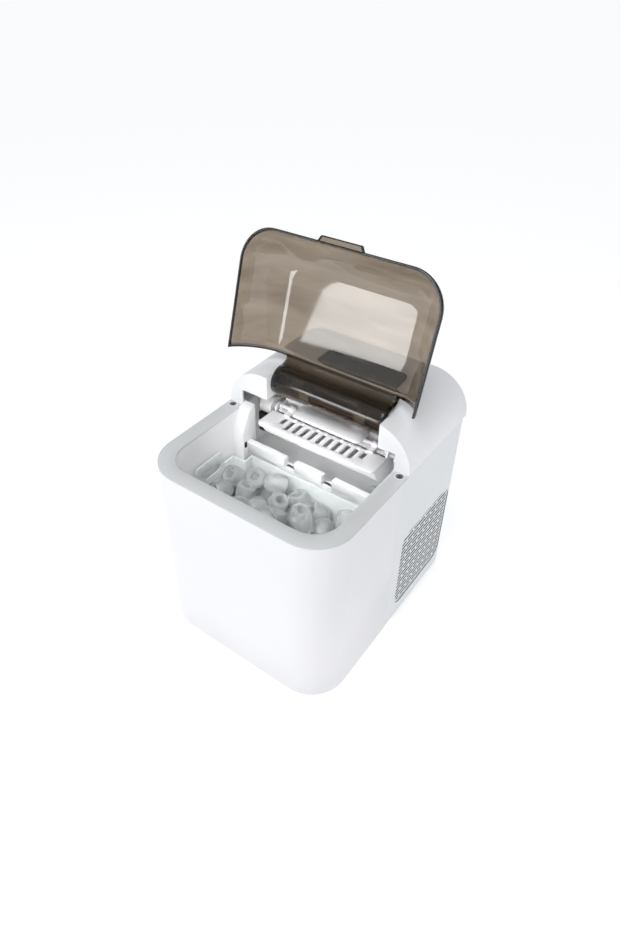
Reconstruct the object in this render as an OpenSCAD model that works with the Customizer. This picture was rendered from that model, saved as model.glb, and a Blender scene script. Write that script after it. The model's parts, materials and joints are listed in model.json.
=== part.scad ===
// Countertop ice maker: a compressor machine that freezes bullet ice into a lift-out basket.
// Frame: X to the right, Y to the back, Z up, origin on the table under the middle of the case.

/* [Case] */
// width of the case
body_w = 222; // [206:2:260]
// depth of the case
body_d = 263; // [255:1:310]
// height of the bay rim above the table
rim_height = 225; // [215:1:260]
// height of the hood above the rim
hood_rise = 46; // [43:1:56]
// thickness of the case mouldings
wall = 2.5; // [2:0.1:3]
// radius of the two front corners in plan
corner_r = 42; // [34:1:48]
// radius of the two rear corners in plan
rear_corner_r = 6; // [4:0.5:9]
// radius of the hood's shoulders
hood_arch_r = 44; // [36:1:46]
// height of the rubber feet
foot_h = 5; // [3:0.5:9]
// radius of the rubber feet
foot_r = 9; // [6:0.5:12]

/* [Ice bay] */
// distance from the case front to the hood
bay_d = 138; // [132:1:144]
// width of the flat rim around the bay
rim_w = 17; // [13:1:20]
// thickness of the rim flange
flange_t = 3; // [2:0.2:4]
// thickness of the bay liner
liner_t = 2; // [1.6:0.1:2.6]
// height of the reservoir floor above the table
reservoir_floor = 50; // [46:1:58]
// radius of the bay's front corners
bay_corner_r = 28; // [20:1:34]

/* [Lid] */
// height of the lid above the rim
lid_rise = 42; // [36:1:43]
// thickness of the lid
lid_t = 2.2; // [1.8:0.1:3]
// radius of the lid's side and front curves
lid_arch_r = 40; // [32:1:41]
// radius of the lid's front corners in plan
lid_corner_r = 36; // [28:1:42]
// angle the lid opens through
lid_open = 107; // [95:1:110]
// width of the handle tab
tab_w = 50; // [36:1:70]
// left end of the lid's neck
neck_left = -60; // [-66:1:-50]
// right end of the lid's neck
neck_right = 74; // [64:1:78]
// outer radius of the neck around the hinge
neck_r = 16; // [14.5:0.5:17]

/* [Basket and ice] */
// depth of the ice basket from rim to floor
basket_h = 78; // [64:1:86]
// height of the handle tabs above the basket rim
basket_tab_h = 18; // [12:1:24]
// thickness of the basket wall
basket_t = 2; // [1.6:0.1:2.6]
// height the basket lifts through
basket_lift = 200; // [150:5:260]
// outer radius of one ice bullet
bullet_r = 12; // [9:0.5:13]
// length of one ice bullet
bullet_h = 26; // [18:1:27]

/* [Freezer] */
// number of freezing fingers
fingers = 9; // [5:1:10]
// radius of one freezing finger
finger_r = 4; // [3:0.25:4.5]
// length of one freezing finger
finger_h = 24; // [16:1:25]
// inner radius of the tilting water tray
tray_r = 28; // [27:0.5:29]
// angle the tray tips through
tray_tip = 60; // [40:1:60]
// number of slots in the ice shovel
shovel_slots = 11; // [7:1:13]
// width of one shovel slot
shovel_slot_w = 5; // [3:0.2:5.6]

/* [Side vents] */
// distance from the case front to the vent field
vent_front = 147; // [143:1:150]
// height of the vent field
vent_h = 112; // [80:1:120]
// length of the vent field
vent_len = 108; // [80:1:108]
// number of slot rows
vent_rows = 20; // [12:1:20]
// height of one slot
vent_slot_h = 2.4; // [1.6:0.1:2.8]

/* [Controls] */
// width of the control window
panel_w = 98; // [88:1:104]
// length of the control window
panel_len = 44; // [38:1:50]
// radius of one button
button_r = 6.5; // [5:0.5:8]
// travel of one button
button_travel = 1.2; // [0.8:0.1:1.8]

/* [Cooling] */
// radius of the compressor shell
compressor_r = 52; // [46:1:53]
// height of the compressor shell
compressor_h = 118; // [90:1:122]
// radius of the fan
fan_r = 42; // [34:1:44]
// number of fan blades
fan_blades = 7; // [5:1:9]
// number of condenser fins
fins = 22; // [12:1:26]

/* [Hidden] */
$fn = 64;
cut = 0.5;
gap = 0.3;
fit = 0.08;
skin = 0.05;
half_w = body_w / 2;
front = -body_d / 2;
back = body_d / 2;
floor_z = foot_h;
shell_top = rim_height - flange_t;
hood_top = rim_height + hood_rise;
seam_d = bay_d - 9;
side_half = half_w - 0.6;
side_back = body_d - 0.6;
hood_front = front + bay_d;
bay_half = half_w - rim_w;
bay_front = front + rim_w - 1;
liner_half = bay_half + liner_t;
reservoir_back = front + bay_d - 3;
tray_bay_back = front + bay_d + 59;
tray_bay_floor = rim_height - 63;
hinge_y = hood_front + 22.5;
hinge_z = hood_top - 11.5;
pin_r = 3;
neck_inner = neck_r - 2.5;
end_half = 6.5;
plate_front = hinge_y - 4;
lid_gap = 2;
lid_half = half_w - 2.3;
lid_front = front + 10;
lid_back = hood_front - lid_gap;
lid_z = rim_height + gap;
axis_y = hood_front + 25;
axis_z = rim_height - 5;
shovel_z = rim_height - 4.5;
shovel_left = neck_left - 5;
shovel_right = neck_right + 4;
shovel_mid = (shovel_left + shovel_right) / 2;
tray_boss_x = shovel_right + 6;
shovel_front = axis_y - 37;
mid_x = (neck_left + neck_right) / 2;
basket_half = bay_half - 4;
basket_top = rim_height - 52;
basket_floor = basket_top - basket_h;
basket_front = bay_front + 3;
basket_back = hood_front - 13.5;
basket_notch = 17;
notch_depth = 12;
tab_front = front + 52;
tab_len = 42;
handle_len = 26;
handle_h = 10;
divider_y = hood_front - 12;
divider_t = 7.5;
divider_top = rim_height - 38;
pillar_bend = rim_height - 25;
pillar_w = 14;
hook_x = [mid_x - 55.5, mid_x + 49.5];
guard_reach = 16;
base_t = 3;
base_inset = wall + gap + 0.6;
base_top = floor_z + base_t;
machine_front = reservoir_back + 14;
compressor_x = -half_w + wall + compressor_r + 5;
compressor_y = back - wall - compressor_r - 5;
body_r = compressor_r - 14;
compressor_z = base_top + 12;
vent_z = floor_z + 16;
vent_mid_z = vent_z + vent_h / 2;
vent_depth = 0.8;
vent_corner = 16;
slot_pitch_y = vent_len / 4;
slot_len = slot_pitch_y - 3;
slot_pitch_z = vent_h / vent_rows;
condenser_x = side_half - wall - 26;
condenser_t = 22;
condenser_reach = 58;
fin_half = 42;
fan_x = condenser_x - 20;
fan_y = back - wall - condenser_reach;
fan_z = vent_mid_z;
panel_x = 9;
panel_front = hood_front + 49;
panel_t = 1.6;
button_x = [-18, 18];
button_y = panel_front + 15;
board_z = hood_top - wall - 11;
main_board_y = back - wall - 14;
drain_y = front + 108;
drain_z = reservoir_floor + 11;
drain_r = 5.5;
pump_x = 8;
pump_y = machine_front + 9;
baffle_y = tray_bay_back + liner_t + 0.5;
line_y = fan_y - 53.3;
gas_z = fan_z + fin_half + 9;
suction_z = compressor_z + compressor_h + 14;
finger_pitch = 15;
finger_span = finger_pitch * (fingers - 1);
tube_r = 3.2;
tube_y = axis_y + 15;
tube_z = axis_z + 28.5;
tube_right = mid_x + 62;
gland_x = -70;
gland_z = 34;
gland_r = 5;

// ---- helpers ----

module along_x(x0, x1) {
  translate([x0, 0, 0])
    rotate([90, 0, 90])
      linear_extrude(x1 - x0)
        children();
}

module along_y(y0, y1) {
  translate([0, y1, 0])
    rotate([90, 0, 0])
      linear_extrude(y1 - y0)
        children();
}

module along_z(z0, z1) {
  translate([0, 0, z0])
    linear_extrude(z1 - z0)
      children();
}

module box(x0, x1, y0, y1, z0, z1) {
  translate([x0, y0, z0])
    cube([x1 - x0, y1 - y0, z1 - z0]);
}

module rod_x(x0, x1, y, z, r) {
  translate([x0, y, z])
    rotate([0, 90, 0])
      cylinder(h = x1 - x0, r = r);
}

module rod_y(y0, y1, x, z, r) {
  translate([x, y1, z])
    rotate([90, 0, 0])
      cylinder(h = y1 - y0, r = r);
}

// rectangle from corner to corner with its four corners rounded by r
module rounded(x0, x1, y0, y1, r) {
  translate([x0 + r, y0])
    square([x1 - x0 - 2 * r, y1 - y0]);
  translate([x0, y0 + r])
    square([x1 - x0, y1 - y0 - 2 * r]);
  for (x = [x0 + r, x1 - r])
    for (y = [y0 + r, y1 - r])
      translate([x, y])
        circle(r);
}

// rectangle whose two low-y corners are rounded by r
module rounded_low(x0, x1, y0, y1, r) {
  intersection() {
    union() {
      translate([x0 + r, y0])
        square([x1 - x0 - 2 * r, y1 - y0]);
      translate([x0, y0 + r])
        square([x1 - x0, y1 - y0 - r]);
      for (x = [x0 + r, x1 - r])
        translate([x, y0 + r])
          circle(r);
    }
    translate([x0 - 1, y0 - 1])
      square([x1 - x0 + 2, y1 - y0 + 1]);
  }
}

// rectangle whose two high-y corners are rounded by r
module rounded_high(x0, x1, y0, y1, r) {
  mirror([0, 1])
    rounded_low(x0, x1, -y1, -y0, r);
}

// plan of the case, set in by a distance, cut off at a distance from the front
module case_plan(inset, depth) {
  rounded_low(-half_w + inset, half_w - inset, front + inset, front + depth, corner_r - inset);
}

// hood section, set in by a distance
module arch(inset) {
  rounded_high(-half_w + inset, half_w - inset, rim_height, hood_top - inset, hood_arch_r - inset);
}

// pipe that visits a list of points with ball corners
module pipe(points, r) {
  for (i = [0 : len(points) - 1])
    translate(points[i])
      sphere(r = r, $fn = 24);
  for (i = [0 : len(points) - 2])
    stick(points[i], points[i + 1], r);
}

module stick(a, b, r) {
  d = b - a;
  length = norm(d);
  turn = atan2(d[1], d[0]);
  lean = acos(d[2] / length);
  translate(a)
    rotate([0, lean, turn])
      cylinder(h = length, r = r, $fn = 24);
}

// ---- case ----

// corners where the feet and the case screws go
function foot_at(i) = [
  (i % 2 == 0 ? -1 : 1) * (half_w - 30),
  i < 2 ? front + 36 : back - 26
];

module base_pan() {
  color([0.82, 0.83, 0.84])
    difference() {
      union() {
        along_z(floor_z, base_top)
          base_plan(base_inset);
        along_z(base_top, base_top + 9)
          difference() {
            base_plan(base_inset);
            base_plan(base_inset + 2);
          }
        for (i = [0 : 3])
          translate([foot_at(i)[0], foot_at(i)[1], base_top])
            cylinder(h = 3, r = foot_r);
        for (i = [0 : 2])
          translate([mount_at(i)[0], mount_at(i)[1], base_top])
            cylinder(h = 13, r = 2.5);
      }
      for (i = [0 : 3])
        translate([foot_at(i)[0], foot_at(i)[1], floor_z - cut])
          cylinder(h = base_t + 4, r = 2.5);
      for (i = [0 : 1])
        rod_y(back - base_inset - 3, back, rear_screw_at(i)[0], rear_screw_at(i)[1], 1.5);
    }
}

module base_plan(inset) {
  intersection() {
    case_plan(inset, body_d);
    rounded_high(-half_w + inset, half_w - inset, front, back - inset, rear_corner_r);
  }
}

module rubber_feet() {
  color([0.12, 0.12, 0.13])
    for (i = [0 : 3])
      translate([foot_at(i)[0], foot_at(i)[1], 0])
        difference() {
          union() {
            translate([0, 0, 1])
              cylinder(h = foot_h - 1, r = foot_r);
            cylinder(h = 1, r = foot_r - 1);
            cylinder(h = foot_h + base_t + 3, r = 2.5);
            translate([0, 0, foot_h + base_t + 3])
              cylinder(h = 1.5, r = 3.6);
          }
          translate([0, 0, -cut])
            cylinder(h = foot_h - 2 + cut, r = 3.5);
        }
}

module front_shell() {
  color([0.95, 0.94, 0.96])
    difference() {
      union() {
        along_z(floor_z, shell_top)
          difference() {
            case_plan(0, seam_d);
            case_plan(wall, seam_d + cut);
          }
        // tongues that the side panels slide over
        for (s = [0, 1])
          mirror([s, 0, 0]) {
            box(side_half - wall - 1.4, half_w - wall + cut, front + seam_d - 12,
                front + seam_d, base_top + 11, shell_top - 4);
            box(side_half - wall - 1.4, side_half - wall, front + seam_d - cut,
                front + seam_d + 5, base_top + 11, shell_top - 4);
          }
      }
      rod_x(-half_w - cut, -half_w + wall + 2, drain_y, drain_z, 9);
    }
}

// one side panel, drawn on the right: it turns the rear corner and steps up behind the bay rim
module side_panel() {
  y0 = front + seam_d + 0.4;
  difference() {
    intersection() {
      union() {
        box(0, half_w, y0, back, floor_z, shell_top - gap);
        box(0, half_w, hood_front + gap, back, shell_top - gap - 1, rim_height - gap);
      }
      along_z(floor_z, rim_height)
        difference() {
          rounded_high(-side_half, side_half, y0, front + side_back, rear_corner_r);
          rounded_high(-side_half + wall, side_half - wall, y0 - cut,
                       front + side_back - wall, rear_corner_r - wall);
          translate([-half_w, y0 - cut])
            square([body_w - 13, body_d]);
        }
    }
    along_x(side_half - vent_depth, half_w)
      vent_field(0);
    along_x(side_half - wall - cut, half_w)
      intersection() {
        vent_field(3);
        vent_slots();
      }
  }
}

module vent_field(inset) {
  y0 = front + vent_front;
  rounded(y0 + inset, y0 + vent_len - inset, vent_z + inset, vent_z + vent_h - inset,
          vent_corner - inset);
}

// rows of slots, every other row moved along by half a slot
module vent_slots() {
  for (row = [0 : vent_rows - 1])
    for (column = [0 : 4])
      translate([
        front + vent_front + (column - (row % 2) / 2) * slot_pitch_y + 1.5,
        vent_z + (row + 0.5) * slot_pitch_z - vent_slot_h / 2
      ])
        square([slot_len, vent_slot_h]);
}

module side_panel_right() {
  color([0.86, 0.88, 0.90])
    side_panel();
}

module side_panel_left() {
  color([0.86, 0.88, 0.90])
    mirror([1, 0, 0])
      side_panel();
}

// places of the rear panel's screws
function rear_screw_at(i) = [
  (i % 2 == 0 ? -1 : 1) * (half_w - 22),
  i < 2 ? base_top + 5 : (i < 4 ? fan_z + fin_half + 6 : rim_height - 14)
];

module rear_panel() {
  y1 = front + side_back;
  half = half_w - 13.4;
  color([0.80, 0.82, 0.84])
    difference() {
      box(-half, half, y1 - wall, y1, floor_z, rim_height - gap);
      for (row = [0 : 9])
        for (s = [-1, 1])
          box(s * 40 - 32, s * 40 + 32, y1 - wall - cut, y1 + cut,
              rim_height - 110 + row * 7, rim_height - 107 + row * 7);
      for (row = [0 : 9])
        box(10, 84, y1 - wall - cut, y1 + cut, floor_z + 22 + row * 7, floor_z + 25 + row * 7);
      for (i = [0 : 5])
        rod_y(y1 - wall - cut, y1 + cut, rear_screw_at(i)[0], rear_screw_at(i)[1], 1.8);
      rod_y(y1 - wall - cut, y1 + cut, gland_x, gland_z, gland_r + 0.2);
    }
}

module rear_screws() {
  y1 = front + side_back;
  color([0.70, 0.71, 0.72])
    for (i = [0 : 5])
      difference() {
        union() {
          rod_y(y1, y1 + 0.5, rear_screw_at(i)[0], rear_screw_at(i)[1], 3.2);
          rod_y(y1 - 9, y1, rear_screw_at(i)[0], rear_screw_at(i)[1], 1.5);
        }
        translate([rear_screw_at(i)[0], y1, rear_screw_at(i)[1]]) {
          cube([4, 2, 0.8], center = true);
          cube([0.8, 2, 4], center = true);
        }
      }
}

module hood() {
  ear_floor = rim_height + 19;
  color([0.90, 0.91, 0.92])
    difference() {
      union() {
        // skin with its back wall
        difference() {
          along_y(hood_front, back)
            arch(0);
          along_y(hood_front - cut, back - wall)
            arch(wall);
        }
        // front faces of the two ears
        along_y(hood_front, hood_front + wall)
          arch(0);
        // cheeks beside the lid's neck
        intersection() {
          union() {
            box(neck_left - gap - wall, neck_left - gap, hood_front, hinge_y + neck_r + 6,
                ear_floor, hood_top - 1);
            box(neck_right + gap, neck_right + gap + wall, hood_front, hinge_y + neck_r + 6,
                ear_floor, hood_top - 1);
            box(neck_left - gap - 30, neck_left - gap, hood_front, hinge_y + neck_r,
                ear_floor, ear_floor + wall);
            box(neck_right + gap, neck_right + gap + 16, hood_front, hinge_y + neck_r,
                ear_floor, ear_floor + wall);
          }
          along_y(hood_front, back)
            arch(1);
        }
      }
      // mouth of the tray bay
      box(-bay_half, bay_half, hood_front - cut, hood_front + wall + cut, rim_height - 1,
          ear_floor);
      // gap the lid's neck swings through
      box(neck_left - gap, neck_right + gap, hood_front - cut, plate_front, rim_height - 1,
          hood_top + cut);
      rod_x(neck_left - gap - wall - cut, neck_left, hinge_y, hinge_z, pin_r + fit);
      rod_x(neck_right, neck_right + gap + wall + cut, hinge_y, hinge_z, pin_r + fit);
      // recess and hole under the control window
      along_z(hood_top - panel_t, hood_top + 1)
        window_plan(0);
      along_z(hood_top - wall - cut, hood_top)
        window_plan(-3);
    }
}

module window_plan(grow) {
  rounded(panel_x - panel_w / 2 - grow, panel_x + panel_w / 2 + grow, panel_front - grow,
          panel_front + panel_len + grow, 8 + grow);
}

// ---- bay ----

module bay_plan(grow, y1) {
  intersection() {
    rounded_low(-bay_half - grow, bay_half + grow, bay_front - grow, y1 + grow,
                bay_corner_r + grow);
    rounded_high(-bay_half - grow, bay_half + grow, bay_front - grow, y1 + grow, 8 + grow);
  }
}

module bin_liner() {
  color([0.80, 0.83, 0.84])
    difference() {
      union() {
        along_z(shell_top, rim_height) {
          case_plan(0, bay_d);
          translate([-side_half + wall + gap, hood_front - 1])
            square([2 * (side_half - wall - gap), tray_bay_back + 5 - hood_front]);
        }
        along_z(reservoir_floor - liner_t, shell_top + cut)
          bay_plan(liner_t, reservoir_back);
        along_z(tray_bay_floor - liner_t, shell_top + cut)
          bay_plan(liner_t, tray_bay_back);
        rod_x(-half_w + wall + gap, -bay_half, drain_y, drain_z, 8);
        rod_x(tray_boss_x, bay_half + 1, axis_y, axis_z, 7);
      }
      along_z(reservoir_floor, rim_height + cut)
        bay_plan(0, reservoir_back);
      difference() {
        along_z(tray_bay_floor, rim_height + cut)
          bay_plan(0, tray_bay_back);
        rod_x(tray_boss_x, bay_half + 1, axis_y, axis_z, 7);
      }
      rod_x(tray_boss_x - 1, bay_half - 1, axis_y, axis_z, 3 + fit);
      rod_x(-half_w, -bay_half + cut, drain_y, drain_z, drain_r);
      translate([pump_x + 56, pump_y, tray_bay_floor - liner_t - cut])
        cylinder(h = liner_t + 2 * cut, r = 4.3);
      for (s = [-1, 1])
        translate([s * (half_w - 7.5), hood_front - 5, shell_top - cut]) {
          cylinder(h = flange_t + 2 * cut, r = 1.9);
          translate([0, 0, cut + 1.2])
            cylinder(h = flange_t, r = 4.6);
        }
    }
  // ledges the basket stands on
  color([0.80, 0.83, 0.84])
    for (s = [0, 1])
      mirror([s, 0, 0])
        box(basket_half - 5, bay_half + cut, basket_front + 30, basket_front + 50,
            basket_floor - 4, basket_floor - gap);
}

module rim_screws() {
  color([0.55, 0.56, 0.58])
    for (s = [-1, 1])
      translate([s * (half_w - 7.5), hood_front - 5, shell_top])
        difference() {
          union() {
            translate([0, 0, 1.2])
              cylinder(h = 1.3, r = 3.9);
            translate([0, 0, -9])
              cylinder(h = 10.2, r = 1.6);
          }
          translate([0, 0, 2.5]) {
            cube([5, 1, 1.6], center = true);
            cube([1, 5, 1.6], center = true);
          }
        }
}

module foam_jacket() {
  color([0.93, 0.90, 0.80])
    difference() {
      union() {
        along_z(base_top + 14, rim_height - 10)
          case_plan(wall + 2.7, reservoir_back - front - 4);
        along_z(base_top + 14, tray_bay_floor - liner_t - 3)
          case_plan(wall + 2.7, reservoir_back - front + 10);
      }
      along_z(reservoir_floor - liner_t, rim_height)
        bay_plan(liner_t + skin, reservoir_back);
      along_z(tray_bay_floor - liner_t, rim_height)
        bay_plan(liner_t + skin, tray_bay_back);
      rod_x(-half_w, -bay_half, drain_y, drain_z, 9);
    }
}

// wall behind the basket, with two notches in its top edge
module divider() {
  lip = divider_top - 12;
  color([0.84, 0.86, 0.87])
    difference() {
      union() {
        intersection() {
          box(-bay_half + pillar_w, bay_half, divider_y + 2, divider_y + 4.5,
              reservoir_floor + 12, lip);
          along_z(reservoir_floor, lip)
            bay_plan(-skin, reservoir_back);
        }
        box(-bay_half + pillar_w, bay_half - 8, divider_y, divider_y + divider_t, lip,
            divider_top);
      }
      for (x = [-22.5, 25.5])
        box(x - 6.5, x + 6.5, divider_y - cut, divider_y + divider_t + cut, lip,
            divider_top + cut);
    }
}

// sloped plate that leads the water from the tray down behind the divider
module ice_chute() {
  y0 = divider_y + divider_t;
  y1 = y0 + 18;
  z0 = divider_top - 9;
  color([0.78, 0.80, 0.81])
    along_x(-bay_half + pillar_w, bay_half)
      polygon([[y0, z0], [y0, z0 - 3], [y1, tray_bay_floor], [y1 + 3, tray_bay_floor]]);
}

module sensor_pillar() {
  x0 = -bay_half;
  x1 = -bay_half + pillar_w;
  top = rim_height + 4;
  color([0.86, 0.88, 0.88])
    difference() {
      along_x(x0, x1)
        polygon([
          [hood_front - 19, reservoir_floor], [hood_front - 11.5, reservoir_floor],
          [hood_front - 11.5, tray_bay_floor], [hood_front + 4, tray_bay_floor],
          [hood_front + 4, top], [hood_front - 6, top - 3], [hood_front - 19, pillar_bend]
        ]);
      box(x1 - 4, x1 + cut, hood_front - 16.5, hood_front - 11.5, pillar_bend - 20,
          pillar_bend - 12);
    }
}

module ice_sensor() {
  x1 = -bay_half + pillar_w;
  color([0.05, 0.05, 0.06])
    box(x1 - 4, x1 - 0.6, hood_front - 16.4, hood_front - 11.6, pillar_bend - 19.9,
        pillar_bend - 12.1);
}

module bay_baffle() {
  color([0.75, 0.77, 0.78])
    difference() {
      intersection() {
        box(-half_w, half_w, baffle_y, baffle_y + 2, rim_height + gap, hood_top);
        along_y(baffle_y, baffle_y + 2)
          arch(wall + gap);
      }
      for (x = [tube_right - 9, tube_right])
        rod_y(baffle_y - cut, baffle_y + 2 + cut, x, tube_z, tube_r + 0.4);
      // room for the control board
      box(panel_x - panel_w / 2 - 2, panel_x + panel_w / 2 + 2, baffle_y - cut, baffle_y + 2 + cut,
          board_z - gap, hood_top);
    }
}

// ---- controls ----

module control_window() {
  color([0.03, 0.03, 0.035])
    difference() {
      along_z(hood_top - panel_t + 0.01, hood_top + 0.2)
        window_plan(-fit - 0.1);
      for (x = button_x)
        translate([panel_x + x, button_y, hood_top - 5])
          cylinder(h = 10, r = button_r + 0.35);
    }
}

module button(x) {
  translate([panel_x + x, button_y, 0]) {
    translate([0, 0, hood_top - panel_t - 0.4])
      cylinder(h = panel_t + 1.4, r = button_r);
    translate([0, 0, hood_top - panel_t - 1.4])
      cylinder(h = 1, r = button_r + 1.2);
    translate([0, 0, board_z + 4.9 + button_travel])
      cylinder(h = hood_top - panel_t - 1.4 - board_z - 4.9 - button_travel, r = 1.8);
  }
}

module button_power() {
  color([0.10, 0.10, 0.11])
    button(button_x[0]);
}

module button_size() {
  color([0.10, 0.10, 0.11])
    button(button_x[1]);
}

module control_board() {
  color([0.10, 0.35, 0.20])
    translate([panel_x, 0, 0]) {
      box(-44, 44, panel_front + 3, panel_front + panel_len - 3, board_z, board_z + 1.6);
      for (x = button_x)
        translate([x, button_y, board_z + 1.6])
          cylinder(h = 3, r = 3);
      for (i = [0 : 5])
        box(i * 12 - 32, i * 12 - 28, panel_front + 32, panel_front + 36, board_z + 1.6,
            board_z + 3.4);
      for (x = [-41, 41])
        for (y = [panel_front + 6, panel_front + panel_len - 6])
          translate([x, y, board_z + 1.6])
            cylinder(h = hood_top - panel_t - board_z - 1.6, r = 2.2);
    }
}

module main_board() {
  y0 = main_board_y;
  z0 = rim_height - 42;
  color([0.12, 0.38, 0.22]) {
    box(-86, 34, y0, y0 + 1.6, z0, hood_top - 12);
    box(-80, -52, y0 - 24, y0, z0 + 20, z0 + 46);
    box(-44, -28, y0 - 16, y0, z0 + 8, z0 + 24);
    box(-22, -6, y0 - 16, y0, z0 + 8, z0 + 24);
    for (i = [0 : 3])
      box(i * 18 - 46, i * 18 - 34, y0 - 9, y0, z0 + 54, z0 + 62);
    rod_y(y0 - 22, y0, 14, z0 + 26, 8);
    for (x = [-82, 30]) {
      rod_y(y0 + 1.6, front + side_back - wall, x, z0 + 4, 2.5);
      rod_y(y0 + 1.6, back - wall, x, hood_top - 16, 2.5);
    }
  }
}

// ---- lid ----

// lid body, drawn closed and set in by a distance
module lid_form(inset) {
  intersection() {
    along_y(lid_front + inset, lid_back + cut)
      rounded_high(-lid_half + inset, lid_half - inset, lid_z - 1, lid_z + lid_rise - inset,
                   lid_arch_r - inset);
    along_z(lid_z - 1, lid_z + lid_rise + 1)
      rounded_low(-lid_half + inset, lid_half - inset, lid_front + inset, lid_back + 1,
                  lid_corner_r - inset);
    along_x(-lid_half, lid_half)
      intersection() {
        rounded(lid_front + inset, lid_back + 2 * lid_arch_r, lid_z - lid_arch_r,
                lid_z + lid_rise - inset, lid_arch_r - inset);
        translate([lid_front, lid_z - 1])
          square([body_d, lid_rise + 2]);
      }
  }
}

// neck: a wall that leans back from the lid's rear edge into a trough under the hinge
module neck_profile() {
  rise = lid_z + lid_rise - hinge_z;
  difference() {
    translate([hinge_y, hinge_z])
      circle(neck_r);
    translate([hinge_y, hinge_z])
      circle(neck_inner);
    translate([hinge_y - 2 * neck_r, hinge_z])
      square([4 * neck_r, 2 * neck_r]);
  }
  polygon([
    [hinge_y - neck_r, hinge_z - 0.1], [hinge_y - neck_inner, hinge_z - 0.1],
    [lid_back + 5.2, hinge_z + rise - lid_t], [lid_back + 5.2, hinge_z + rise],
    [lid_back - 2, hinge_z + rise], [lid_back - 2, hinge_z + rise - lid_t],
    [lid_back + 2.4, hinge_z + rise - lid_t]
  ]);
}

module lid_closed() {
  difference() {
    union() {
      difference() {
        lid_form(0);
        lid_form(lid_t);
        box(-body_w, body_w, lid_back, back, 0, 2 * hood_top);
        box(-body_w, body_w, front - 10, back, 0, lid_z);
      }
      along_x(neck_left, neck_right)
        neck_profile();
      // end plates that carry the pins
      for (x = [neck_left, neck_right - 3])
        along_x(x, x + 3)
          intersection() {
            translate([hinge_y, hinge_z])
              circle(neck_r - 0.5);
            translate([hinge_y - end_half, hinge_z - neck_r])
              square([2 * end_half, neck_r + 5]);
          }
      // handle tab
      along_z(lid_z, lid_z + 4)
        polygon([
          [-tab_w / 2, lid_front + 1], [tab_w / 2, lid_front + 1],
          [tab_w / 2 - 4, lid_front - 5], [-tab_w / 2 + 4, lid_front - 5]
        ]);
    }
    for (x = [neck_left - cut, neck_right - 3 - cut])
      rod_x(x, x + 4, hinge_y, hinge_z, pin_r);
  }
}

module lid_turn() {
  translate([0, hinge_y, hinge_z])
    rotate([-lid_open, 0, 0])
      translate([0, -hinge_y, -hinge_z])
        children();
}

module lid() {
  color([0.45, 0.40, 0.35, 0.55])
    lid_turn()
      lid_closed();
}

module lid_pins() {
  color([0.75, 0.76, 0.78]) {
    rod_x(neck_left - gap - wall - 1, neck_left + 6, hinge_y, hinge_z, pin_r);
    rod_x(neck_right - 6, neck_right + gap + wall + 1, hinge_y, hinge_z, pin_r);
  }
}

// ---- basket ----

module basket_plan(inset) {
  difference() {
    intersection() {
      rounded_low(-basket_half + inset, basket_half - inset, basket_front + inset,
                  basket_back - inset, bay_corner_r - 4 - inset);
      rounded_high(-basket_half + inset, basket_half - inset, basket_front + inset,
                   basket_back - inset, 6 - inset);
    }
    translate([-basket_half - 1, basket_back - notch_depth - inset])
      square([basket_notch + 1 + inset, 2 * notch_depth]);
  }
}

module ice_basket() {
  color([0.80, 0.84, 0.84, 0.9])
    difference() {
      union() {
        along_z(basket_floor, basket_top)
          basket_plan(0);
        // raised tabs around the handle holes
        for (s = [0, 1])
          mirror([s, 0, 0])
            along_x(basket_half - basket_t, basket_half)
              rounded(tab_front, tab_front + tab_len, basket_top - 20, basket_top + basket_tab_h, 6);
      }
      along_z(basket_floor + basket_t, basket_top + cut)
        basket_plan(basket_t);
      // handle hole in each tab
      along_x(-body_w, body_w)
        rounded(tab_front + 12, tab_front + 12 + handle_len, basket_top - 4,
                basket_top - 4 + handle_h, handle_h / 2 - 0.1);
      // melt-water slots in the floor
      for (column = [0 : 6])
        for (row = [0 : 3])
          box((column - 3) * 22 - 7, (column - 3) * 22 + 7, basket_front + 18 + row * 20,
              basket_front + 22 + row * 20, basket_floor - cut, basket_floor + basket_t + cut);
    }
}

// one thimble of ice standing on its rim
module bullet() {
  difference() {
    union() {
      cylinder(h = bullet_h - bullet_r, r = bullet_r, $fn = 32);
      translate([0, 0, bullet_h - bullet_r])
        sphere(r = bullet_r, $fn = 32);
    }
    translate([0, 0, -cut])
      cylinder(h = bullet_h - bullet_r + cut, r = 4.2, $fn = 24);
    translate([0, 0, bullet_h - bullet_r])
      sphere(r = 4.2, $fn = 24);
  }
}

module ice_bullets() {
  pitch = bullet_h + 6;
  reach = norm([bullet_r, bullet_h / 2]) + gap;
  row_shift = [0, -4, 6];
  color([0.86, 0.90, 0.90, 0.6])
    for (layer = [0 : 1])
      for (row = [0 : 2])
        for (column = [0 : 4])
          translate([
            (column - 2) * pitch + row_shift[row],
            basket_front + basket_t + reach + row * (pitch + 0.5),
            basket_floor + basket_t + reach + layer * pitch
          ])
            rotate([
              (column * 92 + row * 34 + layer * 92) % 150 - 75, 0, column * 113 + row * 177
            ])
              translate([0, 0, -bullet_h / 2])
                bullet();
}

// ---- tray and shovel ----

module water_tray() {
  x0 = shovel_left + 1;
  x1 = shovel_right - 1;
  color([0.88, 0.89, 0.90])
    difference() {
      union() {
        along_x(x0, x1)
          difference() {
            tray_section(tray_r + 2, -7);
            tray_section(tray_r, -6);
          }
        for (x = [x0, x1 - 2])
          along_x(x, x + 2)
            union() {
              tray_section(tray_r + 1, -4);
              translate([axis_y, axis_z])
                circle(7);
            }
      }
      rod_x(x0 - cut, x0 + 3, axis_y, axis_z, 3);
      rod_x(x1 - 3, x1 + cut, axis_y, axis_z, 3);
    }
}

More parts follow.
